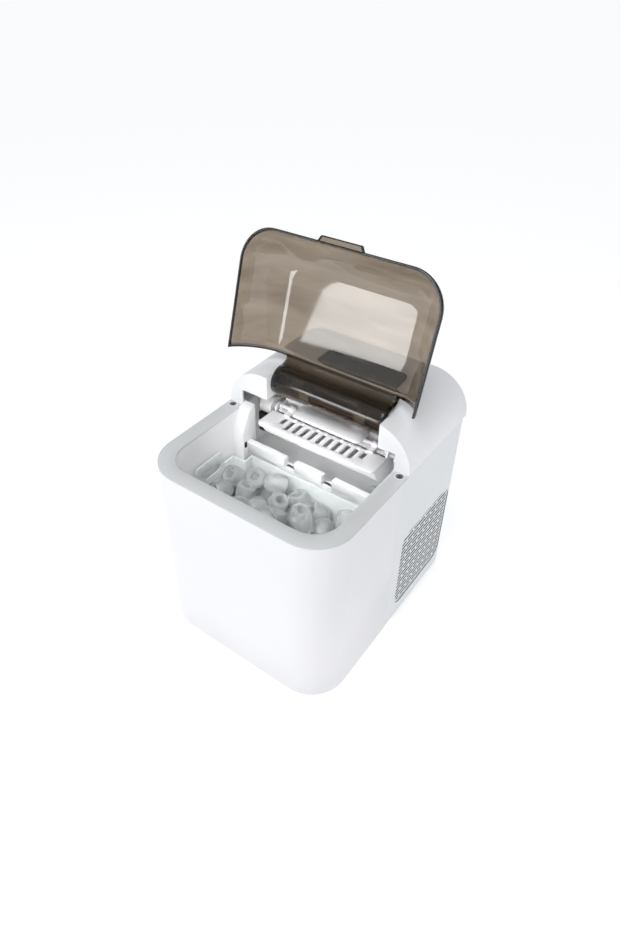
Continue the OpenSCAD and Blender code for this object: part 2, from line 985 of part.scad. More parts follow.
// the part of a disc that lies under a level measured from the tray's axis
module tray_section(r, level) {
  intersection() {
    translate([axis_y, axis_z])
      circle(r);
    translate([axis_y - 2 * r, axis_z - 2 * r])
      square([4 * r, 2 * r + level]);
  }
}

module tray_shaft() {
  x0 = shovel_left + 1;
  x1 = shovel_right - 1;
  color([0.75, 0.76, 0.78]) {
    rod_x(x0 - 10, x0 + 2, axis_y, axis_z, 3);
    rod_x(x1 - 2, min(tray_boss_x + 5, bay_half - 1.5), axis_y, axis_z, 3);
  }
}

module tray_motor() {
  x1 = shovel_left - 2.5;
  color([0.90, 0.90, 0.88])
    difference() {
      union() {
        box(-bay_half, x1, axis_y + 2, axis_y + 22, axis_z - 16, axis_z + 4.5);
        rod_x(x1 - 15, x1, axis_y, axis_z, 10);
      }
      rod_x(x1 - 9, x1 + cut, axis_y, axis_z, 3 + fit);
    }
}

module tray_switches() {
  x1 = shovel_left - 3;
  color([0.08, 0.08, 0.09])
    for (z = [axis_z - 30, axis_z - 44]) {
      box(-bay_half, x1 - 5, axis_y + 2, axis_y + 20, z, z + 10);
      box(x1 - 10, x1 - 8, axis_y + 5, axis_y + 7, z + 10, z + 11.5);
    }
}

module ice_shovel() {
  pitch = (shovel_right - shovel_left - 34) / shovel_slots;
  color([0.96, 0.95, 0.97])
    difference() {
      union() {
        along_z(shovel_z - 2, shovel_z)
          rounded_low(shovel_left, shovel_right, shovel_front, axis_y - 9, 4);
        box(shovel_left + 2, shovel_right - 2, shovel_front + 0.8, shovel_front + 2.2,
            shovel_z - 4, shovel_z - 1);
        for (i = [0 : shovel_slots - 1])
          translate([shovel_mid + (i - (shovel_slots - 1) / 2) * pitch, shovel_front + 26.4,
                     shovel_z - 1])
            cylinder(h = 2, r = 1.9, $fn = 32);
        for (x = hook_x)
          along_x(x, x + 6)
            union() {
              translate([axis_y - 11, shovel_z - 2])
                square([11, 4.5]);
              translate([axis_y, axis_z + 4])
                circle(4);
            }
      }
      for (i = [0 : shovel_slots - 1])
        slot(shovel_mid + (i - (shovel_slots - 1) / 2) * pitch,
             (i == 0 || i == shovel_slots - 1) ? 12 : 18);
      for (x = hook_x)
        rod_x(x - cut, x + 6 + cut, axis_y, axis_z + 4, 2 + fit);
    }
}

module slot(x, length) {
  along_z(shovel_z - 3, shovel_z + 1)
    rounded(x - shovel_slot_w / 2, x + shovel_slot_w / 2, shovel_front + 25 - length,
            shovel_front + 25, 1.4);
}

module shovel_axle() {
  color([0.96, 0.95, 0.97])
    rod_x(bracket_left(), bracket_right(), axis_y, axis_z + 4, 2);
}

function bracket_left() = mid_x - finger_span / 2 - 7;
function bracket_right() = mid_x + finger_span / 2 + 7;

module evaporator_guard() {
  z0 = axis_z + 8.5;
  color([0.97, 0.96, 0.98]) {
    along_z(z0, z0 + 3)
      rounded(mid_x - 42, mid_x + 41, axis_y - guard_reach, axis_y + 7.5, 5);
    for (x = [mid_x - 38, mid_x + 34])
      box(x, x + 3, axis_y + 4.4, axis_y + 7.4, axis_z + 1, z0 + cut);
  }
}

module evaporator_tube() {
  x0 = mid_x - finger_span / 2 - 1;
  exit_y = axis_y + 45;
  color([0.80, 0.55, 0.38])
    pipe([
      [tube_right - 9, exit_y, tube_z], [tube_right - 9, tube_y, tube_z],
      [tube_right - 9, tube_y, axis_z + 12], [x0, tube_y, axis_z + 12],
      [x0, tube_y, axis_z + 4.4], [tube_right, tube_y, axis_z + 4.4],
      [tube_right, tube_y, tube_z], [tube_right, exit_y, tube_z]
    ], tube_r);
}

module evaporator_fingers() {
  color([0.80, 0.81, 0.83])
    for (i = [0 : fingers - 1])
      translate([mid_x - finger_span / 2 + i * finger_pitch, axis_y, axis_z - finger_h + 2]) {
        translate([0, 0, finger_r])
          cylinder(h = finger_h - finger_r - 3, r = finger_r, $fn = 32);
        translate([0, 0, finger_r])
          sphere(r = finger_r, $fn = 32);
      }
}

// carrier that holds the fingers and the tube and hangs from the baffle on two straps
module evaporator_bracket() {
  x0 = bracket_left();
  x1 = bracket_right();
  color([0.70, 0.71, 0.73])
    difference() {
      union() {
        box(x0, x1, axis_y - 5, axis_y + 9, axis_z - 1, axis_z + 1);
        box(x0, x1, axis_y + 8.5, axis_y + 11.8, axis_z - 1, axis_z + 9);
        for (x = [x0, x1 - 2.5])
          box(x, x + 2.5, axis_y - 3, axis_y + 9, axis_z, axis_z + 7);
        for (x = [mid_x - 50, mid_x + 20])
          along_x(x, x + 12)
            polygon([
              [axis_y + 8.5, axis_z + 8], [axis_y + 11.4, axis_z + 8],
              [axis_y + 11.4, axis_z + 17.5], [axis_y + 23.5, axis_z + 32.3],
              [baffle_y, axis_z + 32.3], [baffle_y, axis_z + 34], [axis_y + 22, axis_z + 34],
              [axis_y + 8.5, axis_z + 20]
            ]);
      }
      for (x = hook_x)
        box(x - 0.6, x + 6.6, axis_y - 6, axis_y + 5, axis_z - 2, axis_z + 2);
      rod_x(x0 - cut, x1 + cut, axis_y, axis_z + 4, 2);
    }
}

// ---- water ----

module water_pump() {
  color([0.15, 0.16, 0.18])
    translate([pump_x, pump_y, base_top]) {
      translate([-14, -12, 0])
        cube([28, 24, 4]);
      translate([0, 0, 4])
        cylinder(h = 26, r = 11);
      translate([0, 0, 30])
        cylinder(h = 4, r = 9);
      translate([0, 0, 34])
        cylinder(h = 8, r = 3);
    }
}

module pump_strainer() {
  color([0.92, 0.93, 0.94])
    translate([pump_x + 20, reservoir_back - 14, reservoir_floor])
      difference() {
        box(-11, 11, -8, 8, 0, 11.5);
        box(-9, 9, -6, 6, -cut, 9.5);
        for (i = [0 : 4])
          box(i * 4 - 8.8, i * 4 - 7.2, -9, 9, 2, 9);
      }
}

module water_hose() {
  color([0.90, 0.92, 0.93])
    pipe([
      [pump_x, pump_y, base_top + 46], [pump_x, pump_y, tray_bay_floor - 12],
      [pump_x + 56, pump_y, tray_bay_floor - 12], [pump_x + 56, pump_y, tray_bay_floor + 8]
    ], 4);
}

module drain_plug() {
  color([0.20, 0.20, 0.22])
    union() {
      rod_x(-half_w, -half_w + wall - 0.1, drain_y, drain_z, 8.2);
      rod_x(-half_w + wall - 0.2, -liner_half + 2, drain_y, drain_z, 3.4);
      difference() {
        rod_x(-half_w + wall - 0.1, -liner_half, drain_y, drain_z, drain_r - 0.4);
        translate([-half_w + wall + 4, drain_y, drain_z])
          rotate([0, 90, 0])
            difference() {
              cylinder(h = 3, r = 8);
              translate([0, 0, -cut])
                cylinder(h = 4, r = 3.9);
            }
      }
    }
}

module drain_seal() {
  color([0.05, 0.05, 0.06])
    translate([-half_w + wall + 4.1, drain_y, drain_z])
      rotate([0, 90, 0])
        difference() {
          cylinder(h = 2.8, r = drain_r - 0.06);
          translate([0, 0, -cut])
            cylinder(h = 4, r = 3.9);
        }
}

// ---- cooling circuit ----

function mount_at(i) = [
  compressor_x + (compressor_r - 8) * cos(i * 120 + 90),
  compressor_y + (compressor_r - 8) * sin(i * 120 + 90)
];

module compressor() {
  h = compressor_h;
  color([0.07, 0.07, 0.08])
    translate([compressor_x, compressor_y, compressor_z]) {
      difference() {
        cylinder(h = 3, r = compressor_r);
        for (i = [0 : 2])
          rotate([0, 0, i * 120 + 90])
            translate([compressor_r - 8, 0, -cut])
              cylinder(h = 4, r = 4.2);
      }
      rotate_extrude() {
        translate([0, 2])
          square([body_r - 14, h - 2]);
        translate([0, 2])
          square([body_r, h - 16]);
        intersection() {
          translate([body_r - 14, h - 14])
            circle(14);
          square([body_r, h]);
        }
        translate([0, h * 0.55])
          square([body_r + 1.5, 3]);
      }
      // process, discharge and suction stubs
      for (a = [-40, 0])
        rotate([0, 0, a])
          translate([body_r - 2, 0, h - 24])
            rotate([0, 90, 0])
              cylinder(h = 8, r = 3);
      translate([0, 0, h - 1])
        cylinder(h = 7, r = 3.6);
    }
}

module compressor_mounts() {
  color([0.10, 0.10, 0.11])
    for (i = [0 : 2])
      translate([mount_at(i)[0], mount_at(i)[1], base_top])
        difference() {
          union() {
            cylinder(h = 12, r = 7);
            cylinder(h = 17, r = 4.1);
            translate([0, 0, 15.1])
              cylinder(h = 2, r = 6);
          }
          translate([0, 0, -cut])
            cylinder(h = 20, r = 2.5);
        }
}

module compressor_cover() {
  color([0.12, 0.12, 0.13])
    translate([compressor_x, compressor_y, compressor_z + 12])
      rotate([0, 0, -90])
        difference() {
          translate([body_r - 5, -17, 0])
            cube([15, 34, compressor_h * 0.55 - 14]);
          translate([0, 0, -cut])
            cylinder(h = compressor_h, r = body_r + skin);
        }
}

module condenser_fins() {
  pitch = 88 / fins;
  color([0.80, 0.81, 0.82])
    difference() {
      for (i = [0 : fins])
        box(condenser_x, condenser_x + condenser_t, fan_y - 44 + i * pitch,
            fan_y - 44 + i * pitch + 0.6, fan_z - fin_half, fan_z + fin_half);
      for (x = [condenser_x + 6, condenser_x + 16])
        for (row = [0 : 4])
          rod_y(fan_y - 46, fan_y + 48, x, fan_z - 32 + row * 16, 2.6 + skin);
    }
}

// five hairpins through the fins, joined by return bends
module condenser_tube() {
  color([0.78, 0.50, 0.33]) {
    for (row = [0 : 4]) {
      for (x = [condenser_x + 6, condenser_x + 16])
        rod_y(fan_y - 48, fan_y + 48, x, fan_z - 32 + row * 16, 2.6);
      condenser_bend(fan_y + 48, fan_z - 32 + row * 16, 1);
    }
    for (row = [0 : 3])
      rod_z(condenser_x + (row % 2 == 0 ? 6 : 16), fan_y - 48, fan_z - 32 + row * 16, 16);
  }
}

module rod_z(x, y, z, length) {
  translate([x, y, z])
    cylinder(h = length, r = 2.6, $fn = 24);
  for (dz = [0, length])
    translate([x, y, z + dz])
      sphere(r = 2.6, $fn = 24);
}

module condenser_bend(y, z, side) {
  translate([condenser_x + 11, y, z])
    rotate_extrude(angle = 180 * side)
      translate([5, 0])
        circle(2.6, $fn = 24);
}

module fan_shroud() {
  x0 = fan_x - 14;
  x1 = condenser_x - 0.4;
  top = fan_z + fan_r + 2;
  color([0.14, 0.14, 0.15])
    difference() {
      union() {
        box(x0, x1, fan_y - fan_r - 4, fan_y + fan_r + 4, base_top, top);
        box(x1 - 1, condenser_x + condenser_t, fan_y - fan_r - 4, fan_y + fan_r + 4, base_top,
            fan_z - 42.5);
      }
      difference() {
        rod_x(x0 - cut, x1 + cut, fan_y, fan_z, fan_r + 1);
        rod_x(x0, x0 + 2.6, fan_y, fan_z, 16);
        for (a = [45 : 90 : 315])
          translate([x0, fan_y, fan_z])
            rotate([a, 0, 0])
              translate([0, -3, 12])
                cube([2.4, 6, fan_r]);
      }
      rod_x(x0 - cut, x0 + 3, fan_y, fan_z, 4);
      translate([foot_at(3)[0], foot_at(3)[1], base_top - cut])
        cylinder(h = 6, r = foot_r + gap);
      box(x0 + 2.6, x1 - 3, fan_y - fan_r - 2, fan_y + fan_r + 2, base_top + 3, fan_z - fan_r - 3);
    }
}

module fan_motor() {
  x0 = fan_x - 14;
  color([0.35, 0.36, 0.38]) {
    rod_x(x0 - 16, x0, fan_y, fan_z, 14);
    rod_x(x0, x0 + 14, fan_y, fan_z, 2);
  }
}

module fan_blade() {
  x0 = fan_x - 8;
  color([0.20, 0.21, 0.22])
    difference() {
      union() {
        rod_x(x0, x0 + 9, fan_y, fan_z, 11);
        for (i = [0 : fan_blades - 1])
          translate([x0 + 4.5, fan_y, fan_z])
            rotate([i * 360 / fan_blades, 0, 0])
              translate([0, 0, 9])
                rotate([0, 0, 32])
                  translate([-0.7, -8, 0])
                    cube([1.4, 16, fan_r - 12]);
      }
      rod_x(x0 - cut, x0 + 8, fan_y, fan_z, 2 + fit);
    }
}

module hot_gas_valve() {
  color([0.78, 0.66, 0.36])
    translate([26, back - 26, gas_z + 2.6]) {
      cylinder(h = 9, r = 3);
      translate([-8, -8, 8])
        cube([16, 16, 16]);
      translate([0, 0, 23.5])
        cylinder(h = 3.5, r = 4);
    }
}

module filter_dryer() {
  color([0.78, 0.50, 0.33])
    translate([6, back - 40, base_top + 52]) {
      translate([0, 0, 8])
        cylinder(h = 44, r = 8);
      translate([0, 0, 52])
        cylinder(h = 8, r1 = 8, r2 = 3);
      cylinder(h = 8, r1 = 3, r2 = 8);
    }
}

module discharge_pipe() {
  z = compressor_z + compressor_h - 24;
  x = compressor_x + body_r + 8.6;
  color([0.80, 0.52, 0.35])
    pipe([
      [x, compressor_y, z], [x + 6, compressor_y, z], [x + 6, compressor_y, gas_z],
      [x + 6, back - 26, gas_z], [condenser_x + 6, back - 26, gas_z],
      [condenser_x + 6, line_y, gas_z], [condenser_x + 6, line_y, fan_z + 32]
    ], 2.6);
}

module liquid_pipe() {
  x = condenser_x + 16;
  color([0.80, 0.52, 0.35])
    pipe([
      [x, line_y, fan_z - 32], [x, line_y, base_top + 18], [26, line_y, base_top + 18],
      [26, back - 40, base_top + 18], [6, back - 40, base_top + 18],
      [6, back - 40, base_top + 49.4]
    ], 2.6);
}

module suction_pipe() {
  y = axis_y + 55;
  color([0.80, 0.52, 0.35])
    pipe([
      [tube_right, axis_y + 51.2, tube_z], [tube_right, y, tube_z], [tube_right, y, suction_z],
      [compressor_x, y, suction_z], [compressor_x, compressor_y, suction_z],
      [compressor_x, compressor_y, compressor_z + compressor_h + 9]
    ], 3);
}

module capillary() {
  color([0.80, 0.52, 0.35])
    pipe([
      [6, back - 40, base_top + 113.4], [6, back - 40, base_top + 152],
      [tube_right - 9, back - 40, base_top + 152], [tube_right - 9, back - 40, tube_z],
      [tube_right - 9, axis_y + 49.6, tube_z]
    ], 1.4);
}

module cord_gland() {
  y1 = front + side_back;
  color([0.10, 0.10, 0.11])
    difference() {
      union() {
        rod_y(y1 - wall - 8, y1, gland_x, gland_z, gland_r);
        rod_y(y1, y1 + 0.6, gland_x, gland_z, gland_r + 3);
        rod_y(y1 - wall - 3, y1 - wall - 0.1, gland_x, gland_z, gland_r + 2.5);
      }
      rod_y(y1 - wall - 9, y1 + 1, gland_x, gland_z, 3.2);
    }
}

base_pan();
rubber_feet();
front_shell();
side_panel_left();
side_panel_right();
rear_panel();
rear_screws();
hood();
bin_liner();
rim_screws();
foam_jacket();
divider();
ice_chute();
sensor_pillar();
ice_sensor();
control_window();
button_power();
button_size();
control_board();
main_board();
lid();
lid_pins();
ice_basket();
ice_bullets();
water_tray();
tray_shaft();
tray_motor();
tray_switches();
ice_shovel();
shovel_axle();
evaporator_guard();
evaporator_tube();
evaporator_fingers();
evaporator_bracket();
water_pump();
pump_strainer();
water_hose();
drain_plug();
drain_seal();
compressor();
compressor_mounts();
compressor_cover();
condenser_fins();
condenser_tube();
fan_motor();
fan_blade();
fan_shroud();
hot_gas_valve();
filter_dryer();
discharge_pipe();
liquid_pipe();
suction_pipe();
capillary();
cord_gland();
bay_baffle();
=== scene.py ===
# %% [markdown]
# # A countertop ice maker
# The case, bay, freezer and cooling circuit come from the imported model, which already knows
# how every part moves. This lesson gives those parts their finishes, softens their edges and
# builds the two pieces that plain solids can't show well: the smoked lid and the ice.
# Every length is in metres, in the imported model's own frame.

# %% Load the frame
import json
import math

import bmesh
import bpy
import numpy as np
from mathutils import Matrix, Vector, noise

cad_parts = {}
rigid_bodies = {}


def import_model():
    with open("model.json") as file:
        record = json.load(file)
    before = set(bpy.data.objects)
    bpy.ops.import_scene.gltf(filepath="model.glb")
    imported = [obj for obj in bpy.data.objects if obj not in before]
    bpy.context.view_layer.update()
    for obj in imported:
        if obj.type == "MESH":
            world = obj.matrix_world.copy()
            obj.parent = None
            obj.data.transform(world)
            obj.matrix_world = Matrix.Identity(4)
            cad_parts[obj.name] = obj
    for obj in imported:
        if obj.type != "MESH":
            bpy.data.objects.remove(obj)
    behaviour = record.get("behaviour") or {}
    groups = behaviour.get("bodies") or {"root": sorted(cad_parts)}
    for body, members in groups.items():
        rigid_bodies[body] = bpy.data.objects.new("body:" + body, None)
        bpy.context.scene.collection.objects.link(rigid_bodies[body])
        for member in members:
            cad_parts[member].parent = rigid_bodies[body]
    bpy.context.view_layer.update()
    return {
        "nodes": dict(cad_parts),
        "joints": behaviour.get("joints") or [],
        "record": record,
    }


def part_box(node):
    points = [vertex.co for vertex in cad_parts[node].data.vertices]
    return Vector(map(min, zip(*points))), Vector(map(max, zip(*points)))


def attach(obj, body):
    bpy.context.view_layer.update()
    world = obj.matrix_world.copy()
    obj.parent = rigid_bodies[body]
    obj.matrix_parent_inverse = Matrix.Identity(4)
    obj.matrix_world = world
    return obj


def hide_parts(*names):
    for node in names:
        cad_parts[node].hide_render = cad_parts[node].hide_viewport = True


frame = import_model()
node = frame["nodes"]

# %% [markdown]
# ## Camera
# The open bay is the most telling part of this machine, so the view looks down into it from
# the front right. A fairly short lens close to the machine gives the strong taper towards
# the feet. The direction could be aimed at a target object, but it is written as an angle
# round the machine and an angle above the table, because those two numbers are easy to
# reason about. A small lens shift centres the machine without turning the camera.

# %% Camera
scene = bpy.context.scene


def put_in_scene(name, data):
    made = bpy.data.objects.new(name, data)
    scene.collection.objects.link(made)
    return made


eye = (0.31366, -0.45795, 0.64585)
around, above = math.radians(36.40), math.radians(39.14)
flat = math.cos(above)
backward = Vector((math.sin(around) * flat, -math.cos(around) * flat, math.sin(above)))
lens_data = bpy.data.cameras.new("product_camera")
lens_data.sensor_width = 36.0
lens_data.lens = 26.37058
lens_data.shift_x, lens_data.shift_y = 0.020489, -0.003871
lens_data.clip_start = 0.01
camera = put_in_scene("product_camera", lens_data)
camera.location = eye
camera.rotation_mode = "QUATERNION"
camera.rotation_quaternion = (-backward).to_track_quat("-Z", "Y")
scene.camera = camera
print("lens", round(lens_data.lens, 2), "mm")

# %% [markdown]
# ## Table and sky
# White goods are usually shown on a white sweep, a sheet of paper that runs under them and
# up behind. A curved sheet would do, but a very large flat floor under a pale sky looks the
# same from every side. The floor glows a little by itself, which keeps it pale right up to
# the feet.

# %% White floor
scene.view_settings.view_transform = "Standard"


def new_material(name):
    made = bpy.data.materials.new(name)
    made.use_nodes = True
    made.node_tree.nodes.clear()
    out = made.node_tree.nodes.new("ShaderNodeOutputMaterial")
    shader = made.node_tree.nodes.new("ShaderNodeBsdfPrincipled")
    made.node_tree.links.new(shader.outputs["BSDF"], out.inputs["Surface"])
    return made, shader


floor_half = 40
floor_mesh = bpy.data.meshes.new("table_top")
floor_corners = [(x * floor_half, y * floor_half, 0) for x, y in ((-1, -1), (1, -1), (1, 1), (-1, 1))]
floor_mesh.from_pydata(floor_corners, [], [(0, 1, 2, 3)])
floor = put_in_scene("table_top", floor_mesh)
paper, paper_shader = new_material("white_paper")
paper_shader.inputs["Base Color"].default_value = (0.86, 0.86, 0.87, 1)
paper_shader.inputs["Roughness"].default_value = 0.9
paper_shader.inputs["Emission Color"].default_value = (1, 1, 1, 1)
paper_shader.inputs["Emission Strength"].default_value = 0.42
floor.data.materials.append(paper)
print("floor", 2 * floor_half, "m across")

# %% Pale sky
world = bpy.data.worlds.new("soft_room")
scene.world = world
world.use_nodes = True
sky = world.node_tree
sky.nodes.clear()
where = sky.nodes.new("ShaderNodeTexCoord")
split = sky.nodes.new("ShaderNodeSeparateXYZ")
ramp = sky.nodes.new("ShaderNodeValToRGB")
glow = sky.nodes.new("ShaderNodeBackground")
sky_out = sky.nodes.new("ShaderNodeOutputWorld")
horizon, zenith = (0.60, 0.61, 0.63, 1), (0.75, 0.76, 0.775, 1)
for stop, (height, colour) in zip(ramp.color_ramp.elements, ((0.0, horizon), (1.0, zenith))):
    stop.position, stop.color = height, colour
sky.links.new(where.outputs["Generated"], split.inputs["Vector"])
sky.links.new(split.outputs["Z"], ramp.inputs["Fac"])
sky.links.new(ramp.outputs["Color"], glow.inputs["Color"])
sky.links.new(glow.outputs["Background"], sky_out.inputs["Surface"])
glow.inputs["Strength"].default_value = 0.88
print("sky strength", round(glow.inputs["Strength"].default_value, 2))

# %% [markdown]
# ## Soft lights
# Big soft boxes wrap light round a white case with no hard shadow. A wide one at the front
# left makes the front the brightest face, a weak cool one lights the right side, and one
# above shines into the bay. The lid card is a small panel placed where the open lid mirrors
# it, which puts one clean pale shape on the smoked plastic. The bay lamp is a faint strip
# under the front rim: it lifts the divider and shovel, and is hidden from view and gloss.


# %% Softboxes, card and bay lamp
def softbox(name, place, aim, size, watts, tint=(1, 1, 1)):
    lamp = bpy.data.lights.new(name, "AREA")
    lamp.shape = "RECTANGLE"
    lamp.size, lamp.size_y = size
    lamp.energy = watts
    lamp.color = tint
    holder = put_in_scene(name, lamp)
    holder.location = place
    holder.rotation_mode = "QUATERNION"
    holder.rotation_quaternion = (Vector(aim) - Vector(place)).to_track_quat("-Z", "Y")
    return holder


cool, colder = (0.93, 0.97, 1.0), (0.93, 0.96, 1.0)
softbox("front_softbox", (-1.0, -1.9, 0.7), (0, 0, 0.12), (1.4, 1.0), 0.5)
softbox("right_softbox", (1.7, 0.1, 0.6), (0, 0, 0.1), (1.1, 1.0), 0.2, cool)
softbox("bay_softbox", (0.1, -0.45, 1.2), (0, -0.03, 0.18), (0.5, 0.5), 3.3)
softbox("lid_card", (-0.415, -0.870, 0.4175), (0.04, 0.055, 0.33), (0.22, 0.235), 1.3, colder)
bay_lamp = softbox("bay_lamp", (0.0, -0.088, 0.250), (0, 0.035, 0.196), (0.12, 0.03), 0.055)
bay_lamp.data.spread = math.radians(115)
bay_lamp.visible_camera = False
bay_lamp.visible_glossy = False

# %% [markdown]
# ## Moulded plastic
# The case is injection moulded. Real mouldings are never one flat colour: the skin has a
# fine spark grain, the gloss wanders a little, and the tone shifts over a hand's width.
# Each plastic could be wired by hand, but the wiring is always the same. Small helpers make
# noise, stretch its range and turn it into tone or relief, and one recipe puts them
# together, so each part only says how it differs.


# %% Noise, and how far it may swing
def noise_node(tree, scale, detail=3.0, stretch=None):
    place = tree.nodes.new("ShaderNodeTexCoord").outputs["Object"]
    grain = tree.nodes.new("ShaderNodeTexNoise")
    grain.inputs["Scale"].default_value = scale
    grain.inputs["Detail"].default_value = detail
    if stretch:
        mapping = tree.nodes.new("ShaderNodeMapping")
        mapping.inputs["Scale"].default_value = stretch
        tree.links.new(place, mapping.inputs["Vector"])
        place = mapping.outputs["Vector"]
    tree.links.new(place, grain.inputs["Vector"])
    return grain.outputs["Fac"]


def span(tree, source, low, high, start=0.3, end=0.7):
    reach = tree.nodes.new("ShaderNodeMapRange")
    reach.inputs["From Min"].default_value = start
    reach.inputs["From Max"].default_value = end
    reach.inputs["To Min"].default_value = low
    reach.inputs["To Max"].default_value = high
    tree.links.new(source, reach.inputs["Value"])
    return reach.outputs["Result"]


print("noise and range helpers ready")


# %% Tone, gloss, relief and soft corners
def two_tone(tree, shader, factor, light, dark):
    tone = tree.nodes.new("ShaderNodeValToRGB")
    for stop, (position, colour) in zip(tone.color_ramp.elements, ((0.3, dark), (0.7, light))):
        stop.position, stop.color = position, (*colour, 1)
    tree.links.new(factor, tone.inputs["Fac"])
    tree.links.new(tone.outputs["Color"], shader.inputs["Base Color"])


def wandering_gloss(tree, shader, factor, gloss):
    tree.links.new(span(tree, factor, *gloss), shader.inputs["Roughness"])


def bump(tree, shader, height, strength, distance, below=None):
    relief = tree.nodes.new("ShaderNodeBump")
    relief.inputs["Strength"].default_value = strength
    relief.inputs["Distance"].default_value = distance
    tree.links.new(height, relief.inputs["Height"])
    if below is not None:
        tree.links.new(below, relief.inputs["Normal"])
    tree.links.new(relief.outputs["Normal"], shader.inputs["Normal"])


def edge_softener(tree, radius):
    softener = tree.nodes.new("ShaderNodeBevel")
    softener.samples = 4
    softener.inputs["Radius"].default_value = radius
    return softener.outputs["Normal"]


print("tone, gloss and relief helpers ready")

# %% The recipe for a moulding
finish = {}


def moulding(name, light, dark, gloss, grain=1400, depth=0.00004, edge=0.0006, coat=0.0):
    made, shader = new_material(name)
    tree = made.node_tree
    two_tone(tree, shader, noise_node(tree, 9, 4), light, dark)
    wandering_gloss(tree, shader, noise_node(tree, 60, 5), gloss)
    bump(tree, shader, noise_node(tree, grain, 2), 0.35, depth, edge_softener(tree, edge))
    shader.inputs["Coat Weight"].default_value = coat
    finish[name] = made


print("moulding recipe ready")

# %% [markdown]
# ## White and grey mouldings
# The case is satin white and the side panels a touch cooler, because they are a second
# moulding. The rim around the bay and the bay itself have a dull grain that hides water
# marks. Small inside parts are translucent natural plastic. Each line gives the light tone,
# the dark tone and the range of gloss, and the last numbers change the grain where it differs.

# %% Light mouldings
moulding("white_shell", (0.875, 0.868, 0.885), (0.85, 0.845, 0.862), (0.34, 0.42))
moulding("side_plastic", (0.80, 0.825, 0.84), (0.775, 0.80, 0.815), (0.40, 0.48))
moulding("rear_plastic", (0.78, 0.80, 0.81), (0.75, 0.77, 0.785), (0.5, 0.6))
moulding("hood_plastic", (0.88, 0.885, 0.90), (0.86, 0.865, 0.88), (0.36, 0.44))
moulding("liner_plastic", (0.93, 0.935, 0.935), (0.91, 0.915, 0.915), (0.45, 0.55), 2200, 0.00006)
moulding("pillar_plastic", (0.93, 0.935, 0.935), (0.91, 0.915, 0.915), (0.35, 0.45))
moulding("base_plastic", (0.78, 0.79, 0.80), (0.74, 0.75, 0.76), (0.5, 0.6))
moulding("tray_plastic", (0.93, 0.93, 0.935), (0.91, 0.91, 0.915), (0.38, 0.48))
moulding("shovel_plastic", (0.91, 0.905, 0.915), (0.89, 0.885, 0.90), (0.28, 0.36))
moulding("basket_plastic", (0.82, 0.85, 0.845), (0.78, 0.815, 0.81), (0.25, 0.35),
         900, 0.00003, 0.0004, 0.2)
moulding("strainer_plastic", (0.82, 0.84, 0.85), (0.78, 0.80, 0.81), (0.4, 0.5))
moulding("plug_plastic", (0.76, 0.78, 0.80), (0.73, 0.75, 0.77), (0.4, 0.5))
moulding("motor_case", (0.80, 0.80, 0.77), (0.76, 0.76, 0.73), (0.45, 0.55))
print("light mouldings:", len(finish))

# %% [markdown]
# ## Painted shade on the rim top
# The bay and its rim are one moulding. The flat top of the rim faces up and takes less light
# than the front, and the grey laid on it is painted shade. A second material would need the
# faces split, and the imported mesh may not change. A mask on height does it instead: it is
# nothing inside the bay and rises to one over the last millimetre and a half, and there a grey
# is multiplied over the moulding's own tone as painted shade.


# %% Painted shade on the rim top
def along_axes(tree, vector):
    parts = tree.nodes.new("ShaderNodeSeparateXYZ")
    tree.links.new(vector, parts.inputs["Vector"])
    return parts.outputs


def paint_over(material, mask, colour, kind="MIX"):
    """Lay a colour over the finish's own tone wherever the mask is one."""
    tree = material.node_tree
    shader = next(step for step in tree.nodes if step.type == "BSDF_PRINCIPLED")
    tone = next(link for link in tree.links if link.to_socket == shader.inputs["Base Color"]).from_socket
    mixer = tree.nodes.new("ShaderNodeMix")
    mixer.data_type = "RGBA"
    mixer.blend_type = kind
    mixer.inputs[7].default_value = (*colour, 1)
    tree.links.new(mask, mixer.inputs[0])
    tree.links.new(tone, mixer.inputs[6])
    tree.links.new(mixer.outputs[2], shader.inputs["Base Color"])


rim_low, rim_high = 0.2225, 0.2240
rim_tree = finish["liner_plastic"].node_tree
height = along_axes(rim_tree, rim_tree.nodes.new("ShaderNodeTexCoord").outputs["Object"])["Z"]
rim_top_shade = span(rim_tree, height, 0.0, 1.0, rim_low, rim_high)
# The grey multiplied over the rim top is painted shade.
paint_over(finish["liner_plastic"], rim_top_shade, (0.73, 0.74, 0.745), "MULTIPLY")
print("rim greys above", rim_low * 1000, "mm")

# %% [markdown]
# ## Shade in the vents
# Air is pulled in through rows of short slots. The walls of a slot face each other and lie in
# shade, so they read as dark lines from any side, and that shade is painted on them as a
# near-black. Painting faces one by one would take hundreds of picks. A mask finds the slot
# walls by where they are, just under the panel's skin and inside the vent field, and by which
# way they face, and the painted shade goes there.


# %% Painted shade on the slot walls
def sums(tree, kind, first, second):
    step = tree.nodes.new("ShaderNodeMath")
    step.operation = kind
    for socket, value in zip(step.inputs, (first, second)):
        if isinstance(value, (int, float)):
            socket.default_value = value
        else:
            tree.links.new(value, socket)
    return step.outputs[0]


